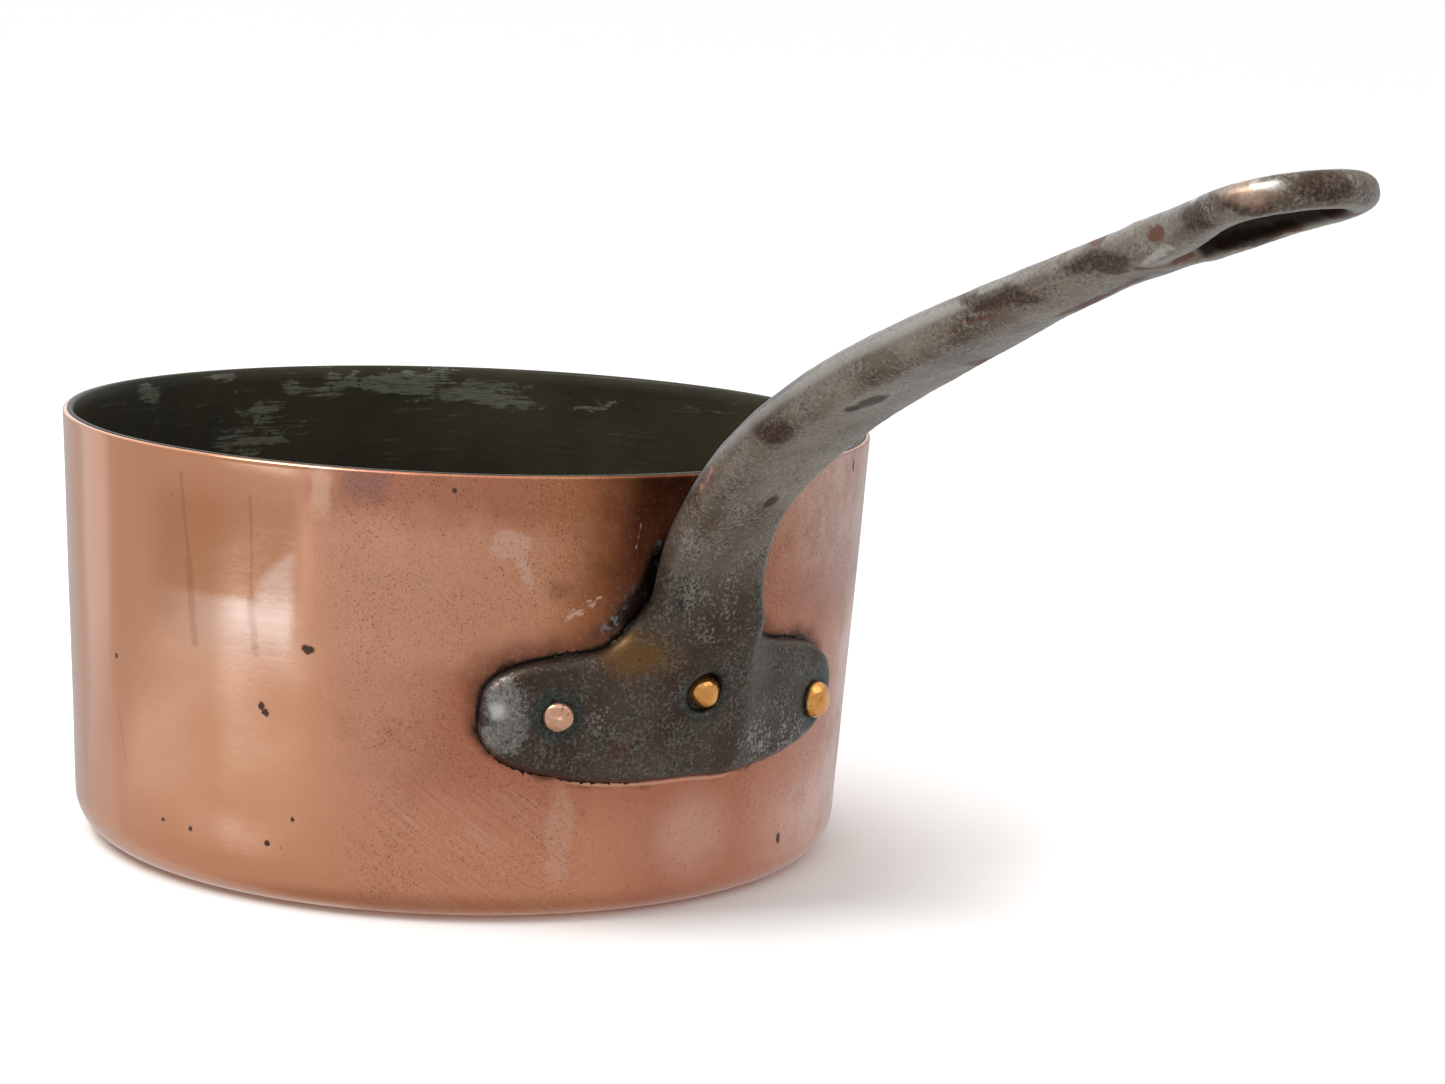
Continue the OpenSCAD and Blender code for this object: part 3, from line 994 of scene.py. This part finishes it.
def copper_stains(g, w, colour):
    """Heat and dirt colours: ochre and brown beside the stem, red round the flange and low down. The dark
    brown left of the stem is partly oxide and partly a painted reflection of the handle, and a painted
    highlight lies higher up left of the handle.
    """
    side = g.add(w.azimuth, g.sway(w.broad, 16.0))
    level = g.add(w.z, g.sway(w.mottle, 14.0))
    far = g.fall(w.azimuth, 90, 170)
    near_stem = g.times(g.ramp(side, -46, -14), g.ramp(w.azimuth, 2, 14, 1.0, 0.12), far)
    around = g.ramp(g.add(w.gap, g.sway(w.broad, 22.0)), 2, 26, 0.8, 0.0)
    colour = g.colour(around, colour, COPPER_RED)
    colour = g.over(colour, COPPER_OCHRE, g.times(near_stem, g.ramp(level, 50, 78)), 0.85)
    orange = g.times(g.window(side, -32, -8, 6), g.window(level, 58, 90, 8))
    colour = g.over(colour, COPPER_ORANGE, orange, 0.35)
    band = g.times(g.window(side, -48, -24, 7), g.ramp(level, 90, 101))
    colour = g.over(colour, COPPER_RED, band, 0.55)
    # Partly oxide, partly a painted reflection of the dark handle
    rough_azimuth = g.add(w.azimuth, g.sway(w.mottle, 9.0))
    oxide_and_reflection = g.times(g.ramp(rough_azimuth, -21, -7), g.ramp(level, 56, 74))
    oxide_and_reflection = g.times(oxide_and_reflection, g.ramp(w.azimuth, 3, 12, 1.0, 0.25), far)
    colour = g.colour(oxide_and_reflection, colour, COPPER_BROWN)
    low = g.ramp(level, -2, 26, 0.75, 0.0)
    handle_side = g.add(g.times(g.ramp(w.azimuth, -80, -20), g.times(far, 0.55)), 0.45)
    colour = g.over(colour, COPPER_RED, low, handle_side)
    warm = g.times(g.fall(level, 14, 42), g.window(side, -52, -8, 6))
    colour = g.over(colour, COPPER_WARM, warm, 0.5)
    # Painted highlight: lighter copper high up left of the handle
    shine = g.times(g.window(side, -52, -20, 6), g.window(level, 60, 93, 5))
    return g.over(colour, COPPER_HIGHLIGHT, shine, 0.5)


def copper_patches(g, w, colour):
    """Wiped, purple and brown patches at their own places, and a painted highlight near the rim."""
    wiped = g.most(
        g.blob(w.jagged, on_wall(-26.2, 89.0), (3.4, 4.6, 3.4), 0.2),
        g.stroke(w.jagged, on_wall(-25.0, 87.0), on_wall(-23.4, 79.5), 1.0),
        g.times(g.blob(w.worn_edge, on_wall(-17.9, 21.0), (3.2, 3.2, 12), 0.3), 0.6),
        g.times(g.blob(w.worn_edge, on_wall(3.0, 19.0), (9, 9, 9), 0.7), 0.8),
    )
    colour = g.over(colour, COPPER_PALE, wiped, 0.42)
    purple = g.blob(w.worn_edge, on_wall(-45.3, 101.5), (5.0, 5.0, 4.5), 0.5)
    colour = g.over(colour, COPPER_PURPLE, purple, 0.55)
    # Painted highlight near the rim
    bright = g.blob(w.worn_edge, on_wall(-51.0, 100.0), (2.4, 2.4, 7.0), 0.5)
    colour = g.over(colour, COPPER_POLISHED_HIGHLIGHT, bright, 0.85)
    blot = g.blob(w.worn_edge, on_wall(-19.4, 78.6), (3.2, 3.2, 2.0), 0.6)
    return g.over(colour, COPPER_BROWN, blot, 0.35)


def handle_dirt(g, w, colour):
    """Darker brown round the handle, wider above it, with baked black dirt and a black line at its edge,
    soot with painted glints by the stem, and a painted glint below the flange.
    """
    # Darker brown close to the handle, fading with distance and reaching further above it
    reach = g.times(g.ramp(w.z, 36, 62, 2.6, 9.5), g.ramp(w.azimuth, 4, 14, 1.0, 0.6))
    ragged_gap = g.add(w.gap, g.sway(g.noise(w.p, 6, 4.0), 5.0))
    w.halo = g.fall(g.math("DIVIDE", ragged_gap, reach), 0.1, 1.0)
    colour = g.over(colour, COPPER_BROWN, w.halo, 0.88)
    cake = g.times(g.fall(ragged_gap, 0.0, 1.6), g.ramp(w.z, 38, 46, 0.2, 1.0))
    line = g.times(g.fall(w.gap, 0.5, 1.2), g.ramp(w.z, 38, 44))
    w.soot = g.times(g.fall(w.gap, 2.6, 4.4), g.fall(w.azimuth, -3, 0), g.window(w.z, 69, 95, 2.5))
    w.crust = g.most(cake, g.most(line, w.soot))
    colour = g.over(colour, COPPER_DARK, w.crust, 0.96)
    # Painted highlights: bluish glints on the soot
    flakes = g.ramp(g.noise(w.jagged, 3.0, 3.0), 0.54, 0.66)
    soot_highlights = g.times(w.soot, g.times(flakes, g.ramp(w.gap, 0.6, 1.6)))
    colour = g.over(colour, SOOT_HIGHLIGHT, soot_highlights, 0.6)
    # Painted glint: a bright line on the copper along the flange's lower edge
    below = g.times(g.fall(w.z, 33, 36), g.window(w.azimuth, -17, 9, 3))
    glint = g.times(g.window(w.gap, 0.7, 1.5, 0.3), below)
    return g.over(colour, COPPER_HIGHLIGHT, glint, 0.6)


def copper_marks(g, w, colour):
    """Pits, denser towards the handle side, and the larger spots, lines and scratches; some upright lines
    are partly painted reflections.
    """
    hazed = g.times(g.ramp(w.azimuth, -72, -30), g.ramp(w.azimuth, 90, 170, 0.44, 0.0))
    crowd = g.add(hazed, 0.06)
    small_pits = g.pits(w.torn, 1.1, g.times(crowd, 0.8), 0.17)
    w.pits = g.most(g.pits(w.torn, 3.4, crowd, 0.32), small_pits, g.pits(w.torn, 9, 0.3, 0.5))
    colour = g.over(colour, COPPER_DARK, w.pits, 0.62)
    w.spots = spot_marks(g, w.torn, COPPER_SPOTS)
    colour = g.over(colour, COPPER_DARK, w.spots, 0.95)
    colour = g.over(colour, COPPER_BROWN, line_marks(g, g.warp(w.p, 14, 0.8), COPPER_LINES_AND_REFLECTIONS), 0.2)
    return g.over(colour, COPPER_PALE, line_marks(g, w.torn, COPPER_SCRATCHES), 0.6)


def copper_grain(g, w, colour):
    """Fine grain in the haze, sand-like away from the dirt, and the marks of a scouring cloth."""
    colour = g.over(colour, COPPER_PALE, g.ramp(w.fine, 0.5, 0.72), g.times(w.haze, 0.08))
    colour = g.over(colour, COPPER_BROWN, g.fall(w.fine, 0.25, 0.42), g.times(w.haze, 0.42))
    clear = g.times(g.fall(w.halo, 0.0, 0.5), g.fall(w.azimuth, -20, -10))
    clear = g.most(clear, g.ramp(w.azimuth, 8, 14))
    sandy = g.times(w.haze, clear, g.ramp(w.cloud, 0.35, 0.6, 0.35, 1.0))
    sand = g.noise(w.p, 0.5, 2.0, 0.6)
    colour = g.over(colour, COPPER_BROWN, g.ramp(sand, 0.55, 0.7), g.times(sandy, 0.6))
    colour = g.over(colour, COPPER_PALE, g.fall(sand, 0.3, 0.43), g.times(sandy, 0.25))
    cloth = brushed(g, w.azimuth, w.z)
    scoured = g.times(g.window(w.azimuth, -46, -16, 6), g.fall(w.z, 26, 42))
    colour = g.over(colour, COPPER_PALE, g.ramp(cloth, 0.54, 0.68), g.times(scoured, 0.22))
    return g.over(colour, COPPER_RED, g.fall(cloth, 0.32, 0.45), g.times(scoured, 0.45))


def copper_material():
    material, g = new_material("old_copper")
    w = copper_inputs(g)
    colour = copper_ground(g, w)
    for layer in (copper_stains, copper_patches, handle_dirt, copper_marks, copper_grain):
        colour = layer(g, w, colour)

    rough = g.add(g.ramp(w.haze, 0, 1, 0.11, 0.38), g.sway(w.mottle, 0.1))
    rough = g.add(rough, g.times(g.most(w.halo, w.spots, w.pits), 0.2))
    rough = g.add(rough, g.times(w.soot, -0.2))
    rough = g.add(rough, g.sway(w.lines, 0.03))
    dull = g.most(g.times(w.halo, 0.6), g.times(w.spots, 0.5), g.times(w.pits, 0.5))
    metallic = g.most(g.math("SUBTRACT", 1.0, g.times(dull, 0.8)), w.crust)
    height = g.add(g.sway(w.mottle, 0.4), g.sway(w.fine, g.times(w.haze, 0.22)))
    height = g.add(height, g.sway(w.lines, 0.025))
    height = g.add(height, g.times(g.most(w.pits, w.spots), -0.25))
    g.surface(
        colour, metallic, rough, g.bump(height, 0.12, 0.5),
        Coat_Weight=0.15, Coat_Roughness=0.12, Specular_IOR_Level=0.3,
    )
    return material


TIN_DARK = (0.024, 0.022, 0.013)
TIN_OLIVE = (0.045, 0.038, 0.021)
TIN_WORN = (0.20, 0.205, 0.165)
# Where the tin has worn through to paler metal: azimuth, height, half width, half height
TIN_PATCHES = (
    (-168.0, 103.0, 8.4, 3.3), (173.5, 100.4, 15.4, 5.4), (157.0, 99.6, 18.2, 6.3), (145.0, 97.0, 18.2, 5.4),
    (-175.5, 87.0, 18.2, 6), (-152.7, 100.5, 9.8, 3.6), (127.0, 96.5, 8.4, 1.2), (-178.0, 94.0, 12.6, 3),
    (60.0, 96.0, 15.4, 4.5), (10.0, 92.0, 16.8, 3.9), (-50.0, 90.0, 16.8, 4.5),
)


def tin_material():
    material, g = new_material("old_tin")
    p = g.object_mm()
    z = g.split(p)[2]
    ragged = g.warp(g.warp(p, 16, 6), 4, 2)
    streaks = g.noise(g.stretch(p, 0.1, 0.1, 1.6), 2.2, 4.0, 0.7)
    clouds = g.noise(g.stretch(ragged, 0.5, 0.5, 1.3), 9, 5.0, 0.7)
    broad = g.noise(p, 34, 3.0)
    fine = g.noise(p, 0.9, 4.0, 0.7)
    strokes = g.noise(g.stretch(p, 0.18, 0.18, 1.5), 1.0, 3.0, 0.7)
    patches = g.most(*(
        g.blob(ragged, on_wall(azimuth, height, WALL_T), (half_w, half_w, half_h), 0.6)
        for azimuth, height, half_w, half_h in TIN_PATCHES
    ))
    wiped = g.add(g.times(patches, 0.26), g.add(g.times(clouds, 0.6), g.times(streaks, 0.6)))
    worn = g.times(g.ramp(wiped, 0.81, 0.88), g.ramp(patches, 0.0, 0.3))
    worn = g.times(worn, g.ramp(strokes, 0.36, 0.52, 0.35, 1.0))
    high = g.ramp(z, 60, 88)
    scuffs = g.times(g.ramp(streaks, 0.56, 0.68), g.ramp(clouds, 0.45, 0.6), g.times(high, 0.3))
    specks = g.times(g.pits(p, 4, 0.3, 0.4), 0.5)
    colour = g.colour(g.ramp(broad, 0.3, 0.7), TIN_DARK, TIN_OLIVE)
    colour = g.colour(g.most(g.times(worn, 0.72), specks, scuffs), colour, TIN_WORN)
    rough = g.add(0.42, g.sway(fine, 0.25))
    normal = g.bump(g.add(clouds, g.add(g.times(streaks, 0.6), g.times(fine, 0.25))), 0.18, 0.6)
    g.surface(colour, g.ramp(worn, 0, 1, 0.3, 0.55), rough, normal, Specular_IOR_Level=0.3)
    return material


IRON_GREY = (0.25, 0.215, 0.175)
IRON_BROWN = (0.12, 0.088, 0.064)
IRON_DARK = (0.031, 0.018, 0.011)
IRON_BRIGHT = (0.44, 0.41, 0.37)
IRON_SILVER = (0.205, 0.195, 0.185)
IRON_BLACK = (0.016, 0.011, 0.009)
IRON_HIGHLIGHT = (0.75, 0.74, 0.73)
IRON_BLUE_REFLECTION = (0.085, 0.092, 0.105)
IRON_SPOT = (0.030, 0.015, 0.010)
IRON_STAIN = (0.045, 0.025, 0.016)
IRON_WARM_HIGHLIGHT = (0.80, 0.52, 0.38)
VERDIGRIS = (0.075, 0.12, 0.11)
RUST_RED = (0.095, 0.028, 0.012)
AMBER_SHEEN = (0.17, 0.082, 0.022)
GRIME = (0.012, 0.017, 0.016)

# Brown stains and red rust on the strap and the eye: middle point, half sizes
IRON_STAINS = (
    ((213.0, -11.0, 156.3), (17.0, 3.5, 2.4)), ((241.0, -9.8, 165.4), (12.0, 3.5, 3.0)),
    ((269.4, -14.5, 177.3), (6.5, 3.0, 2.6)), ((294.0, -6.5, 185.2), (4.0, 6.0, 3.4)),
    ((284.0, -16.0, 181.0), (8.0, 3.0, 1.6)), ((264.0, 5.5, 172.8), (13.0, 4.0, 3.0)),
    ((144.0, -13.0, 120.0), (7.0, 3.0, 3.0)), ((226.0, 8.0, 156.0), (16.0, 8.0, 2.6)),
)
IRON_SPOTS = (
    ((123.2, 2.6, 101.3), (2.2, 1.7, 2.2)), ((165.6, -4.0, 129.6), (5.0, 3.0, 2.6)),
    ((161.0, -5.5, 127.6), (2.4, 2.0, 1.4)),
)
IRON_RUST = (
    ((255.8, -10.2, 173.1), (2.2, 3.0, 1.8)), ((237.2, -8.3, 170.1), (2.8, 2.6, 1.2)),
    ((282.2, 9.4, 179.4), (3.8, 4.0, 1.8)), ((259.9, 3.5, 171.3), (1.8, 2.6, 1.3)),
    ((268.4, 6.8, 174.3), (1.5, 2.4, 1.2)), ((271.8, 8.1, 175.7), (2.8, 2.8, 1.4)),
    ((186.0, 8.0, 141.0), (4.0, 6.0, 1.6)),
)
# Lines of rust: from, to, half width
RUST_LINES = (
    ((199.8, -11.1, 148.8), (212.7, -10.6, 154.6), 0.6), ((212.7, -10.6, 154.6), (223.3, -10.0, 158.9), 0.6),
    ((218.0, 0.8, 153.6), (229.9, 1.3, 158.6), 1.3), ((229.9, 1.3, 158.6), (241.5, -0.3, 163.1), 1.2),
    ((246.5, -5.5, 165.2), (251.8, 1.9, 168.3), 0.9),
)


def iron_marks(g, p, places):
    return g.most(*(g.blob(p, centre, radii, 0.3) for centre, radii in places))


def rivet_rings(g, p):
    """1 in the sunk seats round the rivets, where dirt and verdigris collect."""
    rings = []
    for name, spec in RIVETS.items():
        seat_r, aside, above, _ = SEATS[name]
        origin, across, up, out = rivet_frame(spec)
        centre = origin + aside * across + above * up + FLANGE_T * out
        rings.append(g.blob(g.warp(p, 2.5, 0.7), centre, (seat_r + 1.8,) * 3, 0.4))
    return g.most(*rings)


def iron_inputs(g):
    """Coordinates, noises and masks that the layers of the iron's finish share."""
    w = SimpleNamespace(p=g.object_mm())
    for name in ("grime", "along", "outward", "inside_eye"):
        setattr(w, name, g.attribute(name))
    w.broad = g.noise(w.p, 26, 4.0, 0.6)
    w.mottle = g.noise(w.p, 7, 5.0, 0.65)
    w.fine = g.noise(w.p, 0.8, 5.0, 0.75)
    w.ragged = g.warp(g.warp(w.p, 7, 3.0), 1.6, 0.8)
    w.flaky = g.warp(g.warp(w.p, 3, 1.6), 0.9, 0.5)
    w.plate = g.fall(g.add(w.along, g.sway(w.broad, 16.0)), 2, 30)
    return w


def iron_ground(g, w):
    """Dark brown plate with silvery worn grain, greyer and smoother up the strap."""
    colour = g.colour(g.ramp(w.broad, 0.38, 0.66), IRON_GREY, IRON_BROWN)
    colour = g.over(colour, IRON_DARK, w.plate, 0.78)
    lobe = g.blob(w.ragged, on_wall(-27.0, 49.0, -4), (7.5, 7.5, 11.0), 0.45)
    right = g.times(g.blob(w.ragged, on_wall(15.0, 42.0, -4), (17, 17, 8), 0.5), 0.6)
    stem = g.times(g.blob(w.ragged, (108, -2, 76), (14, 9, 10), 0.5), 0.5)
    patch = g.times(g.blob(w.ragged, on_wall(-13.5, 49.5, -4), (4.5, 4.5, 3.5), 0.5), 0.5)
    speckled = g.add(w.mottle, g.sway(w.fine, 0.4))
    blotch = g.times(g.ramp(speckled, 0.5, 0.62), g.ramp(w.plate, 0, 1, 0.35, 0.7))
    colour = g.colour(blotch, colour, IRON_BLACK)
    rubbed = g.add(lobe, g.add(g.sway(w.fine, 2.2), g.sway(w.mottle, 2.2)))
    colour = g.colour(g.ramp(rubbed, 0.45, 0.95, 0.0, 0.75), colour, IRON_SILVER)
    silver = g.most(g.times(lobe, 0.4), right, stem, patch, g.ramp(w.plate, 0, 1, 0.45, 0.24))
    grain = g.ramp(g.add(w.fine, g.sway(w.mottle, 0.5)), 0.5, 0.61)
    colour = g.over(colour, IRON_BRIGHT, grain, silver)
    return g.over(colour, IRON_DARK, g.fall(w.fine, 0.32, 0.45), 0.7)


def iron_tints(g, w, colour):
    """Painted highlight on the strap's side facing up, a painted bluish reflection on the top near the root,
    a painted amber sheen on the plate, red places on the plate, and pits.
    """
    rough_out = g.add(w.outward, g.sway(w.fine, 3.0))
    # Painted highlight: a lighter band on the side of the strap facing up
    upper_highlight = g.times(g.window(rough_out, -3.4, -0.8, 0.7), g.window(w.along, 45, 150, 12))
    colour = g.over(colour, IRON_BRIGHT, upper_highlight, 0.5)
    # Painted reflection: a bluish band on the top edge near the root
    top = g.times(g.ramp(w.outward, -2.9, -3.7), g.window(w.along, 20, 80, 8))
    colour = g.over(colour, IRON_BLUE_REFLECTION, top, 0.7)
    # Painted sheen: a warm amber tint on the concave shoulder beside the stem
    amber = g.blob(w.ragged, (101.5, -17.5, 64.0), (8.0, 8.0, 4.6), 0.8)
    colour = g.over(colour, AMBER_SHEEN, amber, 0.8)
    redness = g.blob(w.ragged, on_wall(-10.7, 43.1, -4.5), (3.0, 3.0, 3.0), 0.6)
    colour = g.over(colour, RUST_RED, redness, 0.35)
    pits = g.pits(w.ragged, 3.4, g.ramp(w.along, 90, 130, 0.15, 0.5), 0.55)
    w.pits = g.times(pits, g.ramp(w.along, 150, 176, 1.0, 0.4))
    return g.over(colour, IRON_DARK, w.pits, 0.7)


def iron_decay(g, w, colour):
    """Brown stains, rust and dark spots, and the dirt and verdigris round the rivets."""
    w.stains = iron_marks(g, w.ragged, IRON_STAINS)
    rust_lines = [g.stroke(w.flaky, start, end, half_w) for start, end, half_w in RUST_LINES]
    rust = g.most(iron_marks(g, w.flaky, IRON_RUST), *rust_lines)
    spots = iron_marks(g, g.warp(w.p, 1.8, 0.9), IRON_SPOTS)
    w.rust = g.most(rust, spots)
    colour = g.over(colour, IRON_STAIN, w.stains, g.ramp(w.fine, 0.4, 0.6, 0.92, 0.66))
    colour = g.over(colour, RUST_RED, rust, 0.85)
    colour = g.over(colour, IRON_SPOT, spots, 0.92)
    rings = rivet_rings(g, w.p)
    green = g.times(rings, g.ramp(g.add(w.fine, g.times(w.mottle, 0.4)), 0.6, 0.8))
    colour = g.over(colour, GRIME, rings, 0.75)
    colour = g.over(colour, VERDIGRIS, green, 0.6)
    return g.over(colour, GRIME, w.grime, 0.9)


def iron_shine(g, w, colour):
    """Painted highlights on the eye, the strap and the plate's left end, a copper smear, burns on the plate
    and painted shade inside the eye.
    """
    # Painted highlights: a warm one and bright spots on the eye, a light band on the strap and a spot on the
    # plate's left end
    warm_highlight = g.blob(w.ragged, (284.5, -15.6, 183.4), (7.0, 3.5, 2.0), 0.6)
    colour = g.over(colour, IRON_WARM_HIGHLIGHT, warm_highlight, 0.35)
    shine = g.most(
        g.blob(w.ragged, (287.6, -14.0, 184.6), (3.0, 3.0, 1.0), 0.6),
        g.blob(w.ragged, (268.0, -14.0, 181.5), (2.4, 3.0, 0.8), 0.6),
        g.times(g.stroke(w.flaky, (250.0, -8.0, 166.8), (258.5, -9.8, 170.6), 0.7), 0.6),
        g.blob(w.p, on_wall(-27.3, 51.5, -4.5), (2.0, 2.0, 1.8), 0.7),
    )
    colour = g.over(colour, IRON_HIGHLIGHT, shine, 0.6)
    w.shine = g.most(shine, g.times(warm_highlight, 0.6))
    smear = g.stroke(w.flaky, (117.4, -12.7, 104.4), (121.9, -13.0, 109.0), 0.5)
    colour = g.over(colour, COPPER_PINK, smear, 0.5)
    burns = g.blob(g.warp(w.p, 2.0, 1.0), on_wall(-29.2, 50.2, -2.8), (2.4, 2.4, 2.8), 0.3)
    burns = g.times(burns, g.ramp(w.mottle, 0.34, 0.46))
    colour = g.over(colour, IRON_SPOT, burns, 0.8)
    # Painted shade: the inside of the eye made nearly black
    colour = g.over(colour, IRON_BLACK, w.inside_eye, 0.9)
    scratches = g.most(
        g.stroke(w.p, (102.5, -13.3, 68), (105.0, -12.2, 76), 0.2),
        g.stroke(w.p, (102.8, -12.6, 67), (105.5, -11.6, 74), 0.15),
    )
    return g.over(colour, IRON_BRIGHT, scratches, 0.8)


def iron_material():
    material, g = new_material("old_iron")
    w = iron_inputs(g)
    colour = iron_ground(g, w)
    for layer in (iron_tints, iron_decay, iron_shine):
        colour = layer(g, w, colour)

    rough = g.add(0.36, g.sway(w.mottle, 0.25))
    rough = g.add(rough, g.times(g.most(w.stains, w.rust), 0.12))
    rough = g.add(rough, g.times(w.inside_eye, 0.35))
    rough = g.add(rough, g.times(w.shine, -0.06))
    metallic = g.ramp(g.most(g.times(w.stains, 0.5), w.rust), 0, 1, 0.7, 0.4)
    metallic = g.most(metallic, w.grime, w.inside_eye)
    height = g.add(g.times(w.mottle, 0.3), g.times(w.fine, 0.4))
    height = g.add(height, g.times(w.pits, -0.4))
    height = g.add(height, g.times(w.rust, 0.3))
    g.surface(colour, metallic, rough, g.bump(height, 0.3, 0.55), Specular_IOR_Level=0.3)
    return material


# Colours of the rivets: raised face, shade, tarnish
RIVET_PINK = ((0.86, 0.50, 0.35), (0.72, 0.37, 0.24), (0.3, 0.12, 0.06))
RIVET_GOLD = ((0.93, 0.45, 0.14), (0.80, 0.34, 0.09), (0.4, 0.16, 0.04))


def rivet_material(name, face, shade, tarnish):
    material, g = new_material(name)
    p = g.object_mm()
    mottle = g.noise(p, 2.4, 4.0, 0.6)
    fine = g.noise(p, 0.7, 3.0)
    colour = g.colour(g.ramp(mottle, 0.4, 0.7), face, shade)
    colour = g.over(colour, tarnish, g.ramp(g.noise(p, 1.5, 3.0), 0.58, 0.72), 0.8)
    rough = g.add(0.26, g.sway(mottle, 0.3))
    normal = g.bump(g.add(mottle, g.times(fine, 0.4)), 0.12, 0.5)
    g.surface(colour, g.ramp(mottle, 0.2, 0.8, 1.0, 0.9), rough, normal)
    return material


def floor_material():
    material, g = new_material("pale_floor")
    p = g.object_mm()
    grain = g.noise(p, 60, 2.0)
    colour = g.colour(grain, (0.92, 0.92, 0.92), (0.935, 0.935, 0.935))
    g.surface(colour, 0.0, 0.9, None)
    return material


# ---- stage, light and camera ----

CAMERA_TURN = -32.0
CAMERA_DISTANCE = 0.8696
CAMERA_HEIGHT = 0.2214
CAMERA_AIM = Vector((0.0457, 0.0466, 0.0769))
CAMERA_ROLL = 2.62
CAMERA_LENS = 87.2
LIGHT_AIM = Vector((0.05, 0, 0.06))


def make_camera():
    a = math.radians(CAMERA_TURN)
    place = Vector((CAMERA_DISTANCE * math.cos(a), CAMERA_DISTANCE * math.sin(a), CAMERA_HEIGHT))
    data = bpy.data.cameras.new("camera")
    data.lens = CAMERA_LENS
    data.sensor_width = 36
    camera = make_object("camera", data)
    turn = (CAMERA_AIM - place).to_track_quat("-Z", "Y").to_matrix().to_4x4()
    roll = Matrix.Rotation(math.radians(CAMERA_ROLL), 4, "Z")
    camera.matrix_world = Matrix.Translation(place) @ turn @ roll
    bpy.context.scene.camera = camera


def make_floor():
    half = 60.0
    points = [(-half, -half, 0), (half, -half, 0), (half, half, 0), (-half, half, 0)]
    mesh = bpy.data.meshes.new("floor")
    mesh.from_pydata(points, [], [(0, 1, 2, 3)])
    mesh.materials.append(floor_material())
    floor = make_object("floor", mesh)
    floor.visible_glossy = False


def light_way(turn, height):
    """Direction towards a light: its turn from the camera's side of the pan, and its height."""
    a, b = math.radians(CAMERA_TURN + turn), math.radians(height)
    return Vector((math.cos(a) * math.cos(b), math.sin(a) * math.cos(b), math.sin(b)))


def make_softbox(name, turn, height, distance, size, power, colour):
    """A square light that faces the pan."""
    way = light_way(turn, height)
    data = bpy.data.lights.new(name, "AREA")
    data.size = size
    data.energy = power
    data.color = colour
    light = make_object(name, data)
    facing = way.to_track_quat("Z", "Y").to_matrix().to_4x4()
    light.matrix_world = Matrix.Translation(LIGHT_AIM + way * distance) @ facing


def make_ceiling():
    """Wide even light from above, a little from behind and the left, that gives the soft shadow."""
    data = bpy.data.lights.new("ceiling", "SUN")
    data.angle = math.radians(40)
    data.energy = 1.32
    light = make_object("ceiling", data)
    light.matrix_world = light_way(-130, 66).to_track_quat("Z", "Y").to_matrix().to_4x4()
    light.visible_glossy = False


# Panels that shiny surfaces reflect. Turn from the camera's side: low, high, softness; the same
# for height; colour added.
PANELS = (
    ((-143, -121, 3.5), (-60, 60, 2.0), (0.03, 0.07, 0.10)),
    ((-140, -123, 3.0), (-14, 60, 2.0), (0.14, 0.19, 0.26)),
    ((-180, -147, 6.0), (-90, 40, 2.0), (0.02, 0.03, 0.04)),
    ((100, 180, 12.0), (-24, 0, 3.0), (0.12, 0.20, 0.26)),
    ((-112, -46, 9.0), (-17.0, -15.5, 0.5), (0.16, 0.29, 0.42)),
    ((-72, -46, 5.0), (-16.9, -15.3, 0.5), (0.50, 0.86, 1.25)),
    ((-47, -36, 2.0), (-15.2, -12.6, 0.7), (0.36, 0.37, 0.34)),
    ((-180, -150, 8.0), (2, 34, 5.0), (0.5, 0.56, 0.62)),
    ((165, 180, 8.0), (2, 34, 5.0), (0.5, 0.56, 0.62)),
)


def make_world():
    world = bpy.data.worlds.new("studio")
    world.use_nodes = True
    bpy.context.scene.world = world
    g = Graph(world.node_tree)
    coords = g.node("ShaderNodeTexCoord").outputs["Generated"]
    spin = {"Vector": coords, "Angle": math.radians(-CAMERA_TURN)}
    x, y, z = g.split(g.node("ShaderNodeVectorRotate", spin, rotation_type="Z_AXIS").outputs[0])
    turn = g.azimuth(x, y)
    height = g.times(g.math("ARCSINE", z), 180 / math.pi)
    seen = g.colour(g.ramp(height, -17.5, -14.5), (0.58, 0.58, 0.58), (0.5, 0.5, 0.5))
    seen = g.colour(g.ramp(height, -42, -75), seen, (0.40, 0.37, 0.34))
    seen = g.colour(g.ramp(height, 5, 40), seen, (0.85, 0.85, 0.84))
    for turns, heights, tint in PANELS:
        mask = g.times(g.window(turn, *turns), g.window(height, *heights))
        seen = g.vector("ADD", seen, g.vector("SCALE", tint, scale=mask))
    path = g.node("ShaderNodeLightPath")
    around = g.colour(path.outputs["Is Diffuse Ray"], (1.09, 1.09, 1.09), (0.70, 0.70, 0.70))
    shown = g.colour(path.outputs["Is Glossy Ray"], around, seen)
    background = g.node("ShaderNodeBackground", {0: shown})
    g.node("ShaderNodeOutputWorld", {0: background.outputs[0]})


def make_stage():
    make_floor()
    make_world()
    make_ceiling()
    make_softbox("key", -70, 52, 1.5, 0.7, 14, (1.0, 0.99, 0.97))
    make_softbox("fill", 60, 40, 1.8, 1.2, 5, (1.0, 0.98, 0.95))
    bpy.context.scene.view_settings.view_transform = "Standard"


# ---- the saucepan ----

make_camera()
make_stage()
stand_for(copper_vessel(), "pan_body", copper_material())
stand_for(tin_coat(), "tin_lining", tin_material())
stand_for(iron_handle(), "handle", iron_material())
pink = rivet_material("pink_copper", *RIVET_PINK)
gold = rivet_material("golden_copper", *RIVET_GOLD)
stand_for(rivet("rivet_left", 1), "rivet_left", pink)
stand_for(rivet("rivet_middle", 2), "rivet_middle", gold)
stand_for(rivet("rivet_right", 3), "rivet_right", gold)
